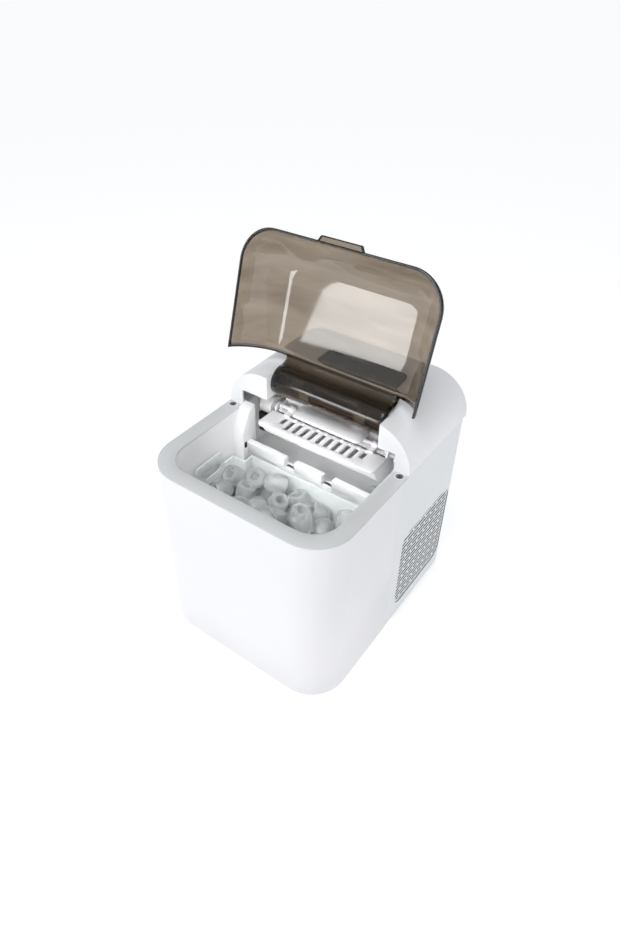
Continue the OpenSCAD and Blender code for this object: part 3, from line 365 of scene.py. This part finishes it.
skin_x, slot_floor_x = 0.11035, 0.1076
field_front_y, field_top_z = 0.0158, 0.1325
side_tree = finish["side_plastic"].node_tree
spot_on = along_axes(side_tree, side_tree.nodes.new("ShaderNodeTexCoord").outputs["Object"])
facing = along_axes(side_tree, side_tree.nodes.new("ShaderNodeNewGeometry").outputs["True Normal"])
out_x = sums(side_tree, "ABSOLUTE", spot_on["X"], 0)
tests = (
    sums(side_tree, "LESS_THAN", sums(side_tree, "ABSOLUTE", facing["X"], 0), 0.5),
    sums(side_tree, "LESS_THAN", out_x, skin_x),
    sums(side_tree, "GREATER_THAN", out_x, slot_floor_x),
    sums(side_tree, "GREATER_THAN", spot_on["Y"], field_front_y),
    sums(side_tree, "LESS_THAN", spot_on["Z"], field_top_z),
)
slot_wall_shade = tests[0]
for test in tests[1:]:
    slot_wall_shade = sums(side_tree, "MULTIPLY", slot_wall_shade, test)
# Near-black painted shade on the slot walls.
paint_over(finish["side_plastic"], slot_wall_shade, (0.035, 0.042, 0.042))
print("slot walls shaded by", len(tests), "tests")

# %% [markdown]
# ## Dark mouldings, rubber and foam
# Feet, seals and mounts are rubber, which scatters light and is never quite black. The
# control window is black acrylic with a high gloss, the compressor is dipped in thick enamel,
# and the jacket round the bay is cut foam with open cells. They all fit the same recipe:
# only the gloss and the size and depth of the grain move.

# %% Dark finishes
moulding("foot_rubber", (0.035, 0.035, 0.037), (0.02, 0.02, 0.022), (0.7, 0.85), 800, 0.0001)
moulding("seal_rubber", (0.03, 0.03, 0.032), (0.018, 0.018, 0.02), (0.6, 0.75), 800, 0.0001)
moulding("mount_rubber", (0.04, 0.04, 0.042), (0.025, 0.025, 0.027), (0.7, 0.85), 800, 0.0001)
moulding("hose_silicone", (0.72, 0.75, 0.76), (0.66, 0.70, 0.71), (0.3, 0.4), 700, 0.00003)
moulding("panel_gloss", (0.012, 0.012, 0.014), (0.006, 0.006, 0.008), (0.12, 0.18), 600, 0.00001, 0.0004)
moulding("button_black", (0.05, 0.05, 0.055), (0.035, 0.035, 0.04), (0.25, 0.35), 1200, 0.00004)
moulding("sensor_window", (0.012, 0.008, 0.012), (0.006, 0.004, 0.008), (0.06, 0.1), 600, 0.00001)
moulding("switch_black", (0.04, 0.04, 0.045), (0.025, 0.025, 0.03), (0.4, 0.5))
moulding("pump_black", (0.05, 0.055, 0.06), (0.03, 0.035, 0.04), (0.4, 0.5))
moulding("cover_plastic", (0.05, 0.05, 0.055), (0.03, 0.03, 0.035), (0.45, 0.55))
moulding("fan_plastic", (0.05, 0.052, 0.056), (0.035, 0.036, 0.04), (0.45, 0.55))
moulding("fan_motor_case", (0.08, 0.08, 0.085), (0.05, 0.05, 0.055), (0.45, 0.55))
moulding("gland_black", (0.035, 0.035, 0.04), (0.02, 0.02, 0.025), (0.4, 0.5))
moulding("compressor_enamel", (0.02, 0.02, 0.022), (0.01, 0.01, 0.012), (0.18, 0.3),
         300, 0.00015, 0.0012, 0.6)
moulding("foam", (0.80, 0.72, 0.50), (0.70, 0.60, 0.38), (0.85, 0.95), 260, 0.0006, 0.002)
print("all mouldings:", len(finish))

# %% [markdown]
# ## Metals and the circuit board
# Screws, copper and the freezer's fingers are seen in small patches only. The pins and the
# bracket are coated white against the damp, so they take the moulding recipe, and so does
# the green varnish of the boards. For bare metal the recipe changes little: the shader turns
# metallic, and two close browns or greys with wandering gloss give it age.


# %% Metals
def metal(name, light, dark, gloss):
    made, shader = new_material(name)
    tree = made.node_tree
    two_tone(tree, shader, noise_node(tree, 40, 4), light, dark)
    wandering_gloss(tree, shader, noise_node(tree, 300, 3), gloss)
    bump(tree, shader, noise_node(tree, 300, 3), 0.3, 0.00002, edge_softener(tree, 0.0003))
    shader.inputs["Metallic"].default_value = 1.0
    finish[name] = made


metal("screw_steel", (0.36, 0.36, 0.375), (0.22, 0.22, 0.235), (0.25, 0.4))
moulding("pin_steel", (0.82, 0.82, 0.83), (0.76, 0.76, 0.77), (0.25, 0.35), 900, 0.00003, 0.0003)
moulding("bracket_steel", (0.84, 0.84, 0.85), (0.79, 0.79, 0.80), (0.3, 0.4), 900, 0.00004, 0.0004)
metal("copper_tube", (0.72, 0.40, 0.25), (0.52, 0.26, 0.15), (0.25, 0.45))
metal("finger_nickel", (0.80, 0.79, 0.77), (0.66, 0.65, 0.63), (0.12, 0.22))
# The fins get greys far darker than bare aluminium: painted shade, so the vent slots in front of them read
# dark.
metal("fin_aluminium", (0.17, 0.175, 0.18), (0.10, 0.105, 0.11), (0.4, 0.55))
metal("valve_brass", (0.72, 0.55, 0.24), (0.55, 0.40, 0.16), (0.2, 0.35))
moulding("board_green", (0.03, 0.16, 0.08), (0.02, 0.10, 0.05), (0.2, 0.35), 500, 0.00005, 0.0003, 0.5)
print("finishes so far:", len(finish))

# %% [markdown]
# ## Smoked clear plastic
# The lid is a clear moulding with a brown smoke dye. Light crosses one wall, loses most of
# its blue and leaves beige. Dye in the depth of the material is the physical way, but the
# wall is only two millimetres, so a tint on the surface looks the same and stays even from
# all sides. Long faint streaks are painted into that tint, and they are painted reflections
# of the studio in the curved plastic. Where the wall bends round the hinge the eye looks along
# it, and a second, browner finish stands for that depth. The polished edge is darker still,
# with a clear coat that catches a hair of light.


# %% Three depths of smoke
def see_through(name, light, dark, mottle_and_reflection_streaks, dulling, gloss, clear=1.0, ior=1.49, coat=0.0):
    made, shader = new_material(name)
    tree = made.node_tree
    shader.inputs["Transmission Weight"].default_value = clear
    shader.inputs["IOR"].default_value = ior
    shader.inputs["Coat Weight"].default_value = coat
    two_tone(tree, shader, noise_node(tree, *mottle_and_reflection_streaks), light, dark)
    wandering_gloss(tree, shader, noise_node(tree, *dulling), gloss)
    finish[name] = made
    return tree, shader


# The stretched noise in the smoked finishes paints streaks into the tint: painted reflection of the studio.
tree, shader = see_through("smoked_clear", (0.36, 0.30, 0.235), (0.235, 0.19, 0.14),
                           (22, 5, (0.35, 1.0, 2.6)), (30, 4), (0.02, 0.05))
bump(tree, shader, noise_node(tree, 9, 1, (1, 1, 2)), 0.06, 0.0004)
see_through("smoked_neck", (0.24, 0.175, 0.115), (0.09, 0.068, 0.045),
            (30, 5, (0.3, 1.0, 3.0)), (50, 4), (0.03, 0.08))
see_through("smoked_edge", (0.030, 0.026, 0.023), (0.012, 0.011, 0.010),
            (60, 3), (80, 3), (0.05, 0.12), clear=0.15, ior=1.5, coat=1.0)
print("smoked finishes:", [name for name in finish if name.startswith("smoked")])

# %% [markdown]
# ## Wet ice
# Bullet ice is cloudy inside and wet outside. Cloud could be a real volume, but it is slow
# to render and grainy at this size. Letting only part of the light through gives the same
# milky body, and a sharp clear coat over a duller skin is the film of water.

# %% Ice
tree, shader = see_through("ice", (0.98, 0.995, 0.99), (0.93, 0.96, 0.955), (70, 5), (90, 4), (0.06, 0.20),
                           clear=0.72, ior=1.31, coat=1.0)
shader.inputs["Coat Roughness"].default_value = 0.04
bump(tree, shader, noise_node(tree, 90, 2), 0.15, 0.0003)
print("finishes in all:", len(finish))

# %% [markdown]
# ## Putting the finishes on
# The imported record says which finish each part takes. The finishes could be handed out by
# name here, but following the record keeps one list for design, motion and looks.

# %% Dress the parts
slot_of = {part["node"]: part["material_slot"] for part in frame["record"]["subparts"]}
for name, shape in node.items():
    shape.data.materials.clear()
    shape.data.materials.append(finish[slot_of[name]])
print("dressed", len(node), "parts with", len(set(slot_of.values())), "finishes")

# %% [markdown]
# ## Softened edges
# A mould can't make a knife edge, and an edge with no radius never catches the light. The
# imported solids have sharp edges, so each big moulding gets a weld, which joins the split
# corners, and a bevel under a millimetre wide on every edge sharper than forty degrees.
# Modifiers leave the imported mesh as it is, which cutting the bevels by hand would not.


# %% Soften the mouldings
def soften(name, width):
    shape = node[name]
    weld = shape.modifiers.new("join_corners", "WELD")
    weld.merge_threshold = 0.00001
    bevel = shape.modifiers.new("soft_edges", "BEVEL")
    bevel.width, bevel.segments = width, 2
    bevel.limit_method = "ANGLE"
    bevel.angle_limit = math.radians(40)
    bevel.harden_normals = True
    for face in shape.data.polygons:
        face.use_smooth = True


edge_width = {
    "front_shell": 0.0008, "hood": 0.0009, "bin_liner": 0.0008, "ice_shovel": 0.0005,
    "evaporator_guard": 0.0008, "divider": 0.0006, "ice_basket": 0.0005,
    "sensor_pillar": 0.0007, "base_pan": 0.0006,
}
for name, width in edge_width.items():
    soften(name, width)
print("softened", len(edge_width), "mouldings")

# %% [markdown]
# ## The lid
# The lid is one clear moulding: a shallow dome with a flat roof, a neck that reaches back
# under the hinge, and a finger tab at the front. It could be a box with a big bevel, but the
# corners of the real one are swept, so it is lofted instead: the outline of the rim is drawn
# once, then repeated smaller and higher until it reaches the roof. Everything is drawn with
# the lid shut, where its sizes are easy to read, and turned about the hinge at the end.

# %% Hinge and lid sizes
hinge_joint = next(joint for joint in frame["joints"] if joint["name"] == "lid_hinge")
_, hinge_y, hinge_z = hinge_joint["pos_m"]
lid_open = -math.radians(hinge_joint["range_deg"][0])
lid_half, lid_front, lid_back = 0.1087, -0.1215, 0.0045
lid_z, lid_rise, lid_wall = 0.2253, 0.042, 0.0022
shoulder, rim_corner, rim_gap = 0.040, 0.036, 0.0010
inset_pull, height_pull, corner_shrink = 0.80, 0.97, 0.62
corner_steps, side_steps, front_steps, levels = 14, 10, 12, 16
hinge = Vector((0, hinge_y, hinge_z))
swing = Matrix.Rotation(-lid_open, 3, "X")


def open_up(point):
    return swing @ (Vector(point) - hinge) + hinge


print("hinge at", hinge_y, hinge_z, "lid", 2 * lid_half, "m wide")


# %% A helper that lofts
def as_piece(name, mesh, smooth=True):
    bmesh.ops.recalc_face_normals(mesh, faces=mesh.faces)
    for face in mesh.faces:
        face.smooth = smooth
    data = bpy.data.meshes.new(name)
    mesh.to_mesh(data)
    mesh.free()
    return put_in_scene(name, data)


def loft(name, rings, closed=False):
    """Skin a row of rings, each with the same number of points."""
    mesh = bmesh.new()
    rows = [[mesh.verts.new(point) for point in ring] for ring in rings]
    for low, high in zip(rows, rows[1:]):
        count = len(low)
        for i in range(count if closed else count - 1):
            j = (i + 1) % count
            mesh.faces.new((low[i], low[j], high[j], high[i]))
    return as_piece(name, mesh)


print("loft ready")

# %% [markdown]
# ## The outline of the rim, and how it climbs
# The rim is a U: two straight sides, two round corners and a straight front. It is open at
# the back, where the neck takes over. Seen from the side the dome bulges near the rim and
# flattens at the roof. A plain quarter circle looks too round there, so its inset and its
# height are each raised to a power, which is the quickest way to pull a curve tighter.


# %% Lid outline
def rim_outline(inset, corner, corner_steps=corner_steps, side_steps=side_steps,
                front_steps=front_steps):
    half, front = lid_half - inset, lid_front + inset
    points = []
    for i in range(side_steps):
        points.append((-half, lid_back + (front + corner - lid_back) * i / side_steps))
    for i in range(corner_steps + 1):
        turn = math.pi + math.pi / 2 * i / corner_steps
        points.append((-half + corner + corner * math.cos(turn), front + corner + corner * math.sin(turn)))
    for i in range(1, front_steps):
        points.append((-half + corner + (2 * (half - corner)) * i / front_steps, front))
    mirrored = [(-x, y) for x, y in reversed(points[: side_steps + corner_steps + 1])]
    return points + mirrored


def lid_level(step):
    """How far the outline has moved in, its corner and its height at one level of the dome."""
    turn = math.pi / 2 * step / levels
    inset = shoulder * (1 - math.cos(turn)) ** inset_pull
    corner = rim_corner - corner_shrink * inset
    return inset, corner, lid_z + rim_gap + (lid_rise - rim_gap) * math.sin(turn) ** height_pull


rings = []
for step in range(levels + 1):
    inset, corner, height = lid_level(step)
    rings.append([open_up((x, y, height)) for x, y in rim_outline(inset, corner)])
lid_shell = loft("lid_shell", rings)
print("rings:", len(rings), "points in each:", len(rings[0]))

# %% [markdown]
# ## Roof and wall
# One many-sided face could close the roof, but it would shade badly where its outline
# bends. A ladder of four-sided faces between the two arms of the last ring stays smooth, and
# only the straight front is left as one face. The real lid has a wall, and light bends twice
# in it, so a solidify modifier gives the sheet its thickness on the inside.

# %% Close the roof
roof = bmesh.new()
roof.from_mesh(lid_shell.data)
roof.verts.ensure_lookup_table()
count = len(rings[0])
last = [roof.verts[levels * count + i] for i in range(count)]
rungs = side_steps + corner_steps - 1
for i in range(rungs):
    roof.faces.new((last[i], last[i + 1], last[count - 2 - i], last[count - 1 - i]))
roof.faces.new(last[rungs:count - rungs])
bmesh.ops.recalc_face_normals(roof, faces=roof.faces)
for face in roof.faces:
    face.smooth = True
roof.to_mesh(lid_shell.data)
roof.free()
print("lid shell faces:", len(lid_shell.data.polygons))


# %% Give the lid its wall
def thicken(piece, wall, offset):
    solid = piece.modifiers.new("wall", "SOLIDIFY")
    solid.thickness = wall
    solid.offset = offset
    solid.use_even_offset = True


corners = [vert.co for vert in lid_shell.data.vertices]
middle = sum(corners, Vector()) / len(corners)
first_face = lid_shell.data.polygons[0]
if (first_face.center - middle).dot(first_face.normal) < 0:
    lid_shell.data.flip_normals()
thicken(lid_shell, lid_wall, -1)
print("lid wall", lid_wall * 1000, "mm")

# %% [markdown]
# ## The neck
# The neck is the same smoked plastic: a wall that drops from the roof's rear edge and curls
# under the hinge in a half circle. A bent plane or a curve with a bevel would do as well.
# Its section is drawn once and pulled along the hinge, so one list shows the whole shape.

# %% Lid neck
neck_left, neck_right = -0.060, 0.074
neck_radius, neck_wall = 0.01475, 0.0024
neck_steps, curl_steps = 24, 24
roof_z = lid_z + lid_rise - lid_wall / 2
drop = [(-0.001, 0), (0.0030, 0), (0.0050, -0.0006), (0.0066, -0.0024), (0.0084, -0.0050)]
neck_path = [(lid_back + back, roof_z + down) for back, down in drop]
for i in range(curl_steps + 1):
    turn = math.pi + math.pi * i / curl_steps
    neck_path.append((hinge_y + neck_radius * math.cos(turn), hinge_z + neck_radius * math.sin(turn)))
neck_rings = []
for k in range(neck_steps + 1):
    x = neck_left + (neck_right - neck_left) * k / neck_steps
    neck_rings.append([open_up((x, y, z)) for y, z in neck_path])
lid_neck = loft("lid_neck", neck_rings)
thicken(lid_neck, neck_wall, 0)
print("neck", round((neck_right - neck_left) * 1000), "mm wide")

# %% [markdown]
# ## Cheeks and tab
# Two cheeks close the ends of the neck and hold the pins, and fingers lift the lid by a small
# tab with all its edges rounded. Each is a flat outline with a thickness. One helper stands
# the outline up along the hinge or lays it flat, and a bevel modifier rounds it off.


# %% A slab from an outline
def slab(name, outline, low, high, axis):
    mesh = bmesh.new()

    def at(a, b, c):
        return open_up((c, a, b) if axis == "x" else (a, b, c))

    bottom = [mesh.verts.new(at(a, b, low)) for a, b in outline]
    top = [mesh.verts.new(at(a, b, high)) for a, b in outline]
    mesh.faces.new(bottom)
    mesh.faces.new(list(reversed(top)))
    for i in range(len(outline)):
        j = (i + 1) % len(outline)
        mesh.faces.new((bottom[j], bottom[i], top[i], top[j]))
    piece = as_piece(name, mesh, smooth=False)
    round_off = piece.modifiers.new("rounded", "BEVEL")
    round_off.width, round_off.segments = 0.0005, 3
    round_off.limit_method = "ANGLE"
    return piece


print("slab ready")

# %% Lid cheeks
cheek_radius, cheek_half, cheek_top, cheek_wall = 0.0133, 0.0064, 0.0049, 0.003
cheek = [(-cheek_half, cheek_top)]
for i in range(21):
    turn = math.pi + math.pi * i / 20
    point = (max(min(cheek_radius * math.cos(turn), cheek_half), -cheek_half), cheek_radius * math.sin(turn))
    if math.dist(point, cheek[-1]) > 0.0002:
        cheek.append(point)
cheek.append((cheek_half, cheek_top))
cheek = [(hinge_y + y, hinge_z + z) for y, z in cheek]
cheeks = [slab("lid_cheek_" + side_name, cheek, x, x + cheek_wall, "x")
          for side_name, x in (("left", neck_left), ("right", neck_right - cheek_wall))]
print("cheek corners:", len(cheek))

# %% Finger tab
tab_side = [(0.025, lid_front + 0.0014), (0.0215, lid_front - 0.0046), (0.0205, lid_front - 0.005)]
tab_outline = tab_side + [(-x, y) for x, y in reversed(tab_side)]
tab_thick = 0.004
lid_tab = slab("lid_tab", tab_outline, lid_z, lid_z + tab_thick, "z")
print("tab", 2000 * tab_side[0][0], "mm wide")

# %% [markdown]
# ## The dark edge
# Seen edge-on, a smoked sheet is nearly black, with a hair of light along it where the
# polished edge mirrors the room. A thin bead along the whole free edge gives that line at
# the right place at every angle, which thickness alone can't do at this size. A curve with
# a round bevel would also make it, but lofted rings end up as plain mesh like all the rest.


# %% A bead along a path
def bead(name, path, radius, sides=8):
    never_along = Vector((0.3, 0.5, 0.8))
    rings = []
    for i, point in enumerate(path):
        ahead = Vector(path[min(i + 1, len(path) - 1)]) - Vector(path[max(i - 1, 0)])
        ahead.normalize()
        across = ahead.cross(never_along).normalized()
        other = ahead.cross(across)
        ring = []
        for k in range(sides):
            angle = 2 * math.pi * k / sides
            ring.append(Vector(point) + radius * (math.cos(angle) * across + math.sin(angle) * other))
        rings.append(ring)
    return loft(name, rings, closed=True)


print("bead ready")

# %% Beads on the rim, the rear and the tab
edge_in, edge_up = 0.0011, 0.0009
rim_bead, rear_bead, tab_bead = 0.00085, 0.0008, 0.0005


def rear_edge(sign):
    path = []
    for step in range(levels + 1):
        inset, corner, height = lid_level(step)
        turn = math.pi / 2 * step / levels
        x = lid_half - inset - edge_in * math.cos(turn)
        z = height - edge_in * math.sin(turn)
        path.append(open_up((sign * x, lid_back - edge_up, max(z, lid_z + edge_up))))
    return path


edge_outline = rim_outline(edge_in, rim_corner - edge_in, 20, 16, 20)
free_edge = [open_up((x, y, lid_z + edge_up)) for x, y in edge_outline]
tab_edge = [(x * 0.985, y + 0.0006) for x, y in tab_outline]
lid_edge = [bead("lid_rim_edge", free_edge, rim_bead),
            bead("lid_rear_edge_left", rear_edge(-1), rear_bead),
            bead("lid_rear_edge_right", rear_edge(1), rear_bead)]
for level_name, up in (("top", 0.0036), ("low", 0.0006)):
    tab_path = [open_up((x, y, lid_z + up)) for x, y in tab_edge]
    lid_edge.append(bead("lid_tab_edge_" + level_name, tab_path, tab_bead))
print("edge beads:", len(lid_edge))

# %% [markdown]
# ## Screw bosses on the rim
# Two screws hold the liner down beside the hood. Each head sits in a white ring that stands
# only a fifth of a millimetre proud, because the shut lid passes just above it. A torus
# would be too round for so flat a ring, so a little section is drawn and spun round the screw.

# %% Screw bosses
screw_lo, screw_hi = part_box("rim_screws")
head = (screw_hi.y - screw_lo.y) / 2
screw_y, rim_top, boss_steps = screw_lo.y + head, 0.225, 40
screw_x = {"left": screw_lo.x + head, "right": screw_hi.x - head}
boss_section = [(head + 0.0003, -0.0003), (head + 0.0003, 0.0001), (head + 0.0005, 0.0002),
                (head + 0.0010, 0.0002), (head + 0.0013, 0.0001), (head + 0.0014, -0.0003)]
for side_name, centre_x in screw_x.items():
    spun = []
    for k in range(boss_steps + 1):
        x, y = math.cos(2 * math.pi * k / boss_steps), math.sin(2 * math.pi * k / boss_steps)
        spun.append([(centre_x + r * x, screw_y + r * y, rim_top + z) for r, z in boss_section])
    boss = loft("screw_boss_" + side_name, spun)
    boss.data.materials.append(finish["shovel_plastic"])
    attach(boss, "cabinet")
print("screw head radius", round(head * 1000, 2), "mm")

# %% [markdown]
# ## Cross slots
# The slot in a screw head lies in shade and reads as a dark plus. Cutting it needs the
# imported mesh to change, which is not allowed here. A black plus a few hundredths of a
# millimetre thick laid on the head reads the same, because a slot this narrow shows no floor:
# it is painted shade. The two are turned differently, as hand-driven screws are.


# %% Painted shade: a dark plus on each screw
def plus_sign(arm, half_arm, spin):
    """The twelve corners of a plus, three for each quarter turn."""
    corners = []
    for quarter in range(4):
        c, s = math.cos(spin + quarter * math.pi / 2), math.sin(spin + quarter * math.pi / 2)
        for x, y in ((arm, -half_arm), (arm, half_arm), (half_arm, half_arm)):
            corners.append((x * c - y * s, x * s + y * c))
    return corners


plus_arm, plus_half = head * 0.62, head * 0.17
plus_levels = ((1.0, -0.0002), (1.0, 0.00006), (0.80, 0.00009), (0.02, 0.00009))
for side_name, spin in (("left", 0.5), ("right", 0.9)):
    plus = plus_sign(plus_arm, plus_half, spin)
    stack = [[(screw_x[side_name] + x * k, screw_y + y * k, screw_hi.z + up) for x, y in plus]
             for k, up in plus_levels]
    cross = loft("screw_slot_shade_" + side_name, stack, closed=True)
    # The black plus is painted shade for the shadow in the slot.
    cross.data.materials.append(finish["switch_black"])
    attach(cross, "cabinet")
print("crosses sit at z", round(screw_hi.z * 1000, 2), "mm")

# %% [markdown]
# ## Hanging the lid
# The dome and tab take the thin smoke, the neck and its cheeks the thick smoke, and the
# beads the dark edge. All of them ride on the lid's body, so they turn with its hinge, and
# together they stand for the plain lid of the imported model.

# %% Hang the lid
for piece in (lid_shell, lid_tab):
    piece.data.materials.append(finish["smoked_clear"])
for piece in (lid_neck, *cheeks):
    piece.data.materials.append(finish["smoked_neck"])
for piece in lid_edge:
    piece.data.materials.append(finish["smoked_edge"])
lid_pieces = (lid_shell, lid_neck, lid_tab, *cheeks, *lid_edge)
for piece in lid_pieces:
    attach(piece, "lid")
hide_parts("lid")
print("pieces on the lid's body:", len(lid_pieces))

# %% [markdown]
# ## A basket of ice
# Water freezes round nine metal fingers here, so each piece of ice is a thimble with a
# round end and a hole where the finger was. A rigid-body simulation could pour the pile,
# but it takes minutes and is hard to repeat. Each piece is treated as a ball instead: it
# falls, pushes its neighbours away and stops at the basket's walls. That takes a second, and
# the seed keeps it the same every time.

# %% Pour the ice
basket_lo, basket_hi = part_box("ice_basket")
basket_floor = basket_lo.z + 0.002
ball, pieces, pour_height = 0.0124, 92, 0.16
wall_in, notch_wide, notch_deep = 0.0024, 0.017, 0.012
fall_turns, all_turns, fall, nudge = 560, 700, 0.0006, 0.0004
side = basket_hi.x - wall_in
near, far = basket_lo.y + wall_in, basket_hi.y - wall_in
pour = np.random.default_rng(11)
spot = np.column_stack([pour.uniform(-side + ball, side - ball, pieces),
                        pour.uniform(near + ball, far - ball, pieces),
                        pour.uniform(basket_floor + ball, basket_floor + pour_height, pieces)])
for turn in range(all_turns):
    if turn < fall_turns:
        spot[:, 2] -= fall
    for again in range(3):
        apart = spot[:, None, :] - spot[None, :, :]
        length = np.linalg.norm(apart, axis=2) + np.eye(pieces)
        push = np.clip(2 * ball - length, 0, None) * (1 - np.eye(pieces))
        spot += 0.5 * (apart / length[:, :, None] * push[:, :, None]).sum(axis=1) * 0.5
        spot[:, 0] = np.clip(spot[:, 0], -side + ball, side - ball)
        spot[:, 1] = np.clip(spot[:, 1], near + ball, far - ball)
        spot[:, 2] = np.clip(spot[:, 2], basket_floor + ball, None)
        in_notch = (spot[:, 0] < -side + notch_wide + ball) & (spot[:, 1] > far - notch_deep - ball)
        spot[in_notch, 1] -= nudge
print("ice reaches", round(float(spot[:, 2].max() + ball) * 1000, 1), "mm above the table")

# %% [markdown]
# ## One thimble
# A thimble is a profile spun round its own axis: over the round end, down the side, round
# the lip and up into the hole. A little noise pushes the skin in and out, because real ice
# melts unevenly, and each piece gets its own size, turn and patch of that noise.


# %% Shape of a thimble
def thimble_profile(size):
    radius, tall = 0.0118 * size, 0.0250 * size
    hole, depth = 0.0048 * size, 0.0170 * size
    profile = [(0.0, tall / 2)]
    for i in range(1, 7):
        bend = math.pi / 2 * i / 6
        profile.append((radius * math.sin(bend), tall / 2 - radius * (1 - math.cos(bend))))
    lip = -tall / 2
    profile += [(radius * 1.01, 0.0), (radius * 0.98, lip + 0.0030), (radius * 0.90, lip + 0.0008),
                (radius * 0.74, lip), (hole * 1.25, lip + 0.0004), (hole, lip + 0.0020),
                (hole * 0.94, lip + depth * 0.6), (hole * 0.7, lip + depth * 0.92), (0.0, lip + depth)]
    return profile


print("thimble profile points:", len(thimble_profile(1)))


# %% Spin a thimble
def thimble(mesh, place, turn, size, wobble, around_steps=22):
    melt_depth, melt_scale = 0.045, 130
    rows = []
    for across, up in thimble_profile(size):
        if across == 0.0:
            rows.append([mesh.verts.new(place + turn @ Vector((0, 0, up)))])
            continue
        row = []
        for k in range(around_steps):
            angle = 2 * math.pi * k / around_steps
            local = Vector((across * math.cos(angle), across * math.sin(angle), up))
            local *= 1 + melt_depth * noise.noise(local * melt_scale + wobble)
            row.append(mesh.verts.new(place + turn @ local))
        rows.append(row)
    for low, high in zip(rows, rows[1:]):
        for k in range(around_steps):
            j = (k + 1) % around_steps
            if len(low) == 1:
                mesh.faces.new((low[0], high[k], high[j]))
            elif len(high) == 1:
                mesh.faces.new((low[j], low[k], high[0]))
            else:
                mesh.faces.new((low[k], low[j], high[j], high[k]))


print("thimble ready")

# %% [markdown]
# ## Keeping the ice in the basket
# A ball fits the basket, but a tumbled thimble has corners that can poke through a wall.
# Making the ice smaller would leave gaps. Each piece is moved instead: back from the four
# walls and the floor, out of the two round front corners, and clear of the step at the back.


# %% Back inside the walls
def from_corner(points, sign, bend=0.022):
    """The move that brings the worst point back inside one round front corner."""
    corner = Vector((sign * (side - bend), near + bend, 0))
    out = [Vector((p.x - corner.x, p.y - corner.y, 0)) for p in points
           if sign * (p.x - corner.x) > 0 and p.y < corner.y]
    worst = max(out, key=lambda v: v.length, default=None)
    if worst and worst.length > bend:
        return -worst.normalized() * (worst.length - bend)
    return Vector((0, 0, 0))


def back_inside(points):
    """How far a piece has to move so that none of its points is in the basket's wall."""
    move = Vector((0, 0, 0))
    step_x, step_y = -side + notch_wide + 0.0002, far - notch_deep - 0.0002
    for again in range(4):
        shifted = [p + move for p in points]
        move.x -= max(0, max(p.x for p in shifted) - side) + min(0, min(p.x for p in shifted) + side)
        move.y -= max(0, max(p.y for p in shifted) - far) + min(0, min(p.y for p in shifted) - near)
        move.z -= min(0, min(p.z for p in shifted) - basket_floor - 0.0004)
        shifted = [p + move for p in points]
        for sign in (-1, 1):
            move += from_corner(shifted, sign)
        notch = [p for p in shifted if p.x < step_x and p.y > step_y]
        if notch:
            across = step_x - min(p.x for p in notch)
            along = max(p.y for p in notch) - step_y
            if across < along:
                move.x += across
            else:
                move.y -= along
    return move


print("basket inside", round(2 * side * 1000), "by", round((far - near) * 1000), "mm")

# %% The pile
pile = bmesh.new()
for place in spot:
    about = Matrix.Rotation(pour.uniform(-3.1, 3.1), 3, "Z")
    tumble = about @ Matrix.Rotation(pour.uniform(0.2, 2.9), 3, "X")
    before = len(pile.verts)
    thimble(pile, Vector(place), tumble, pour.uniform(0.94, 1.02), Vector(pour.uniform(-9, 9, 3)))
    pile.verts.ensure_lookup_table()
    fresh = pile.verts[before:]
    move = back_inside([vert.co.copy() for vert in fresh])
    for vert in fresh:
        vert.co += move
ice_pile = as_piece("ice_pile", pile)
ice_pile.data.materials.append(finish["ice"])
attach(ice_pile, "basket")
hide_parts("ice_bullets")
print("ice faces:", len(ice_pile.data.polygons))
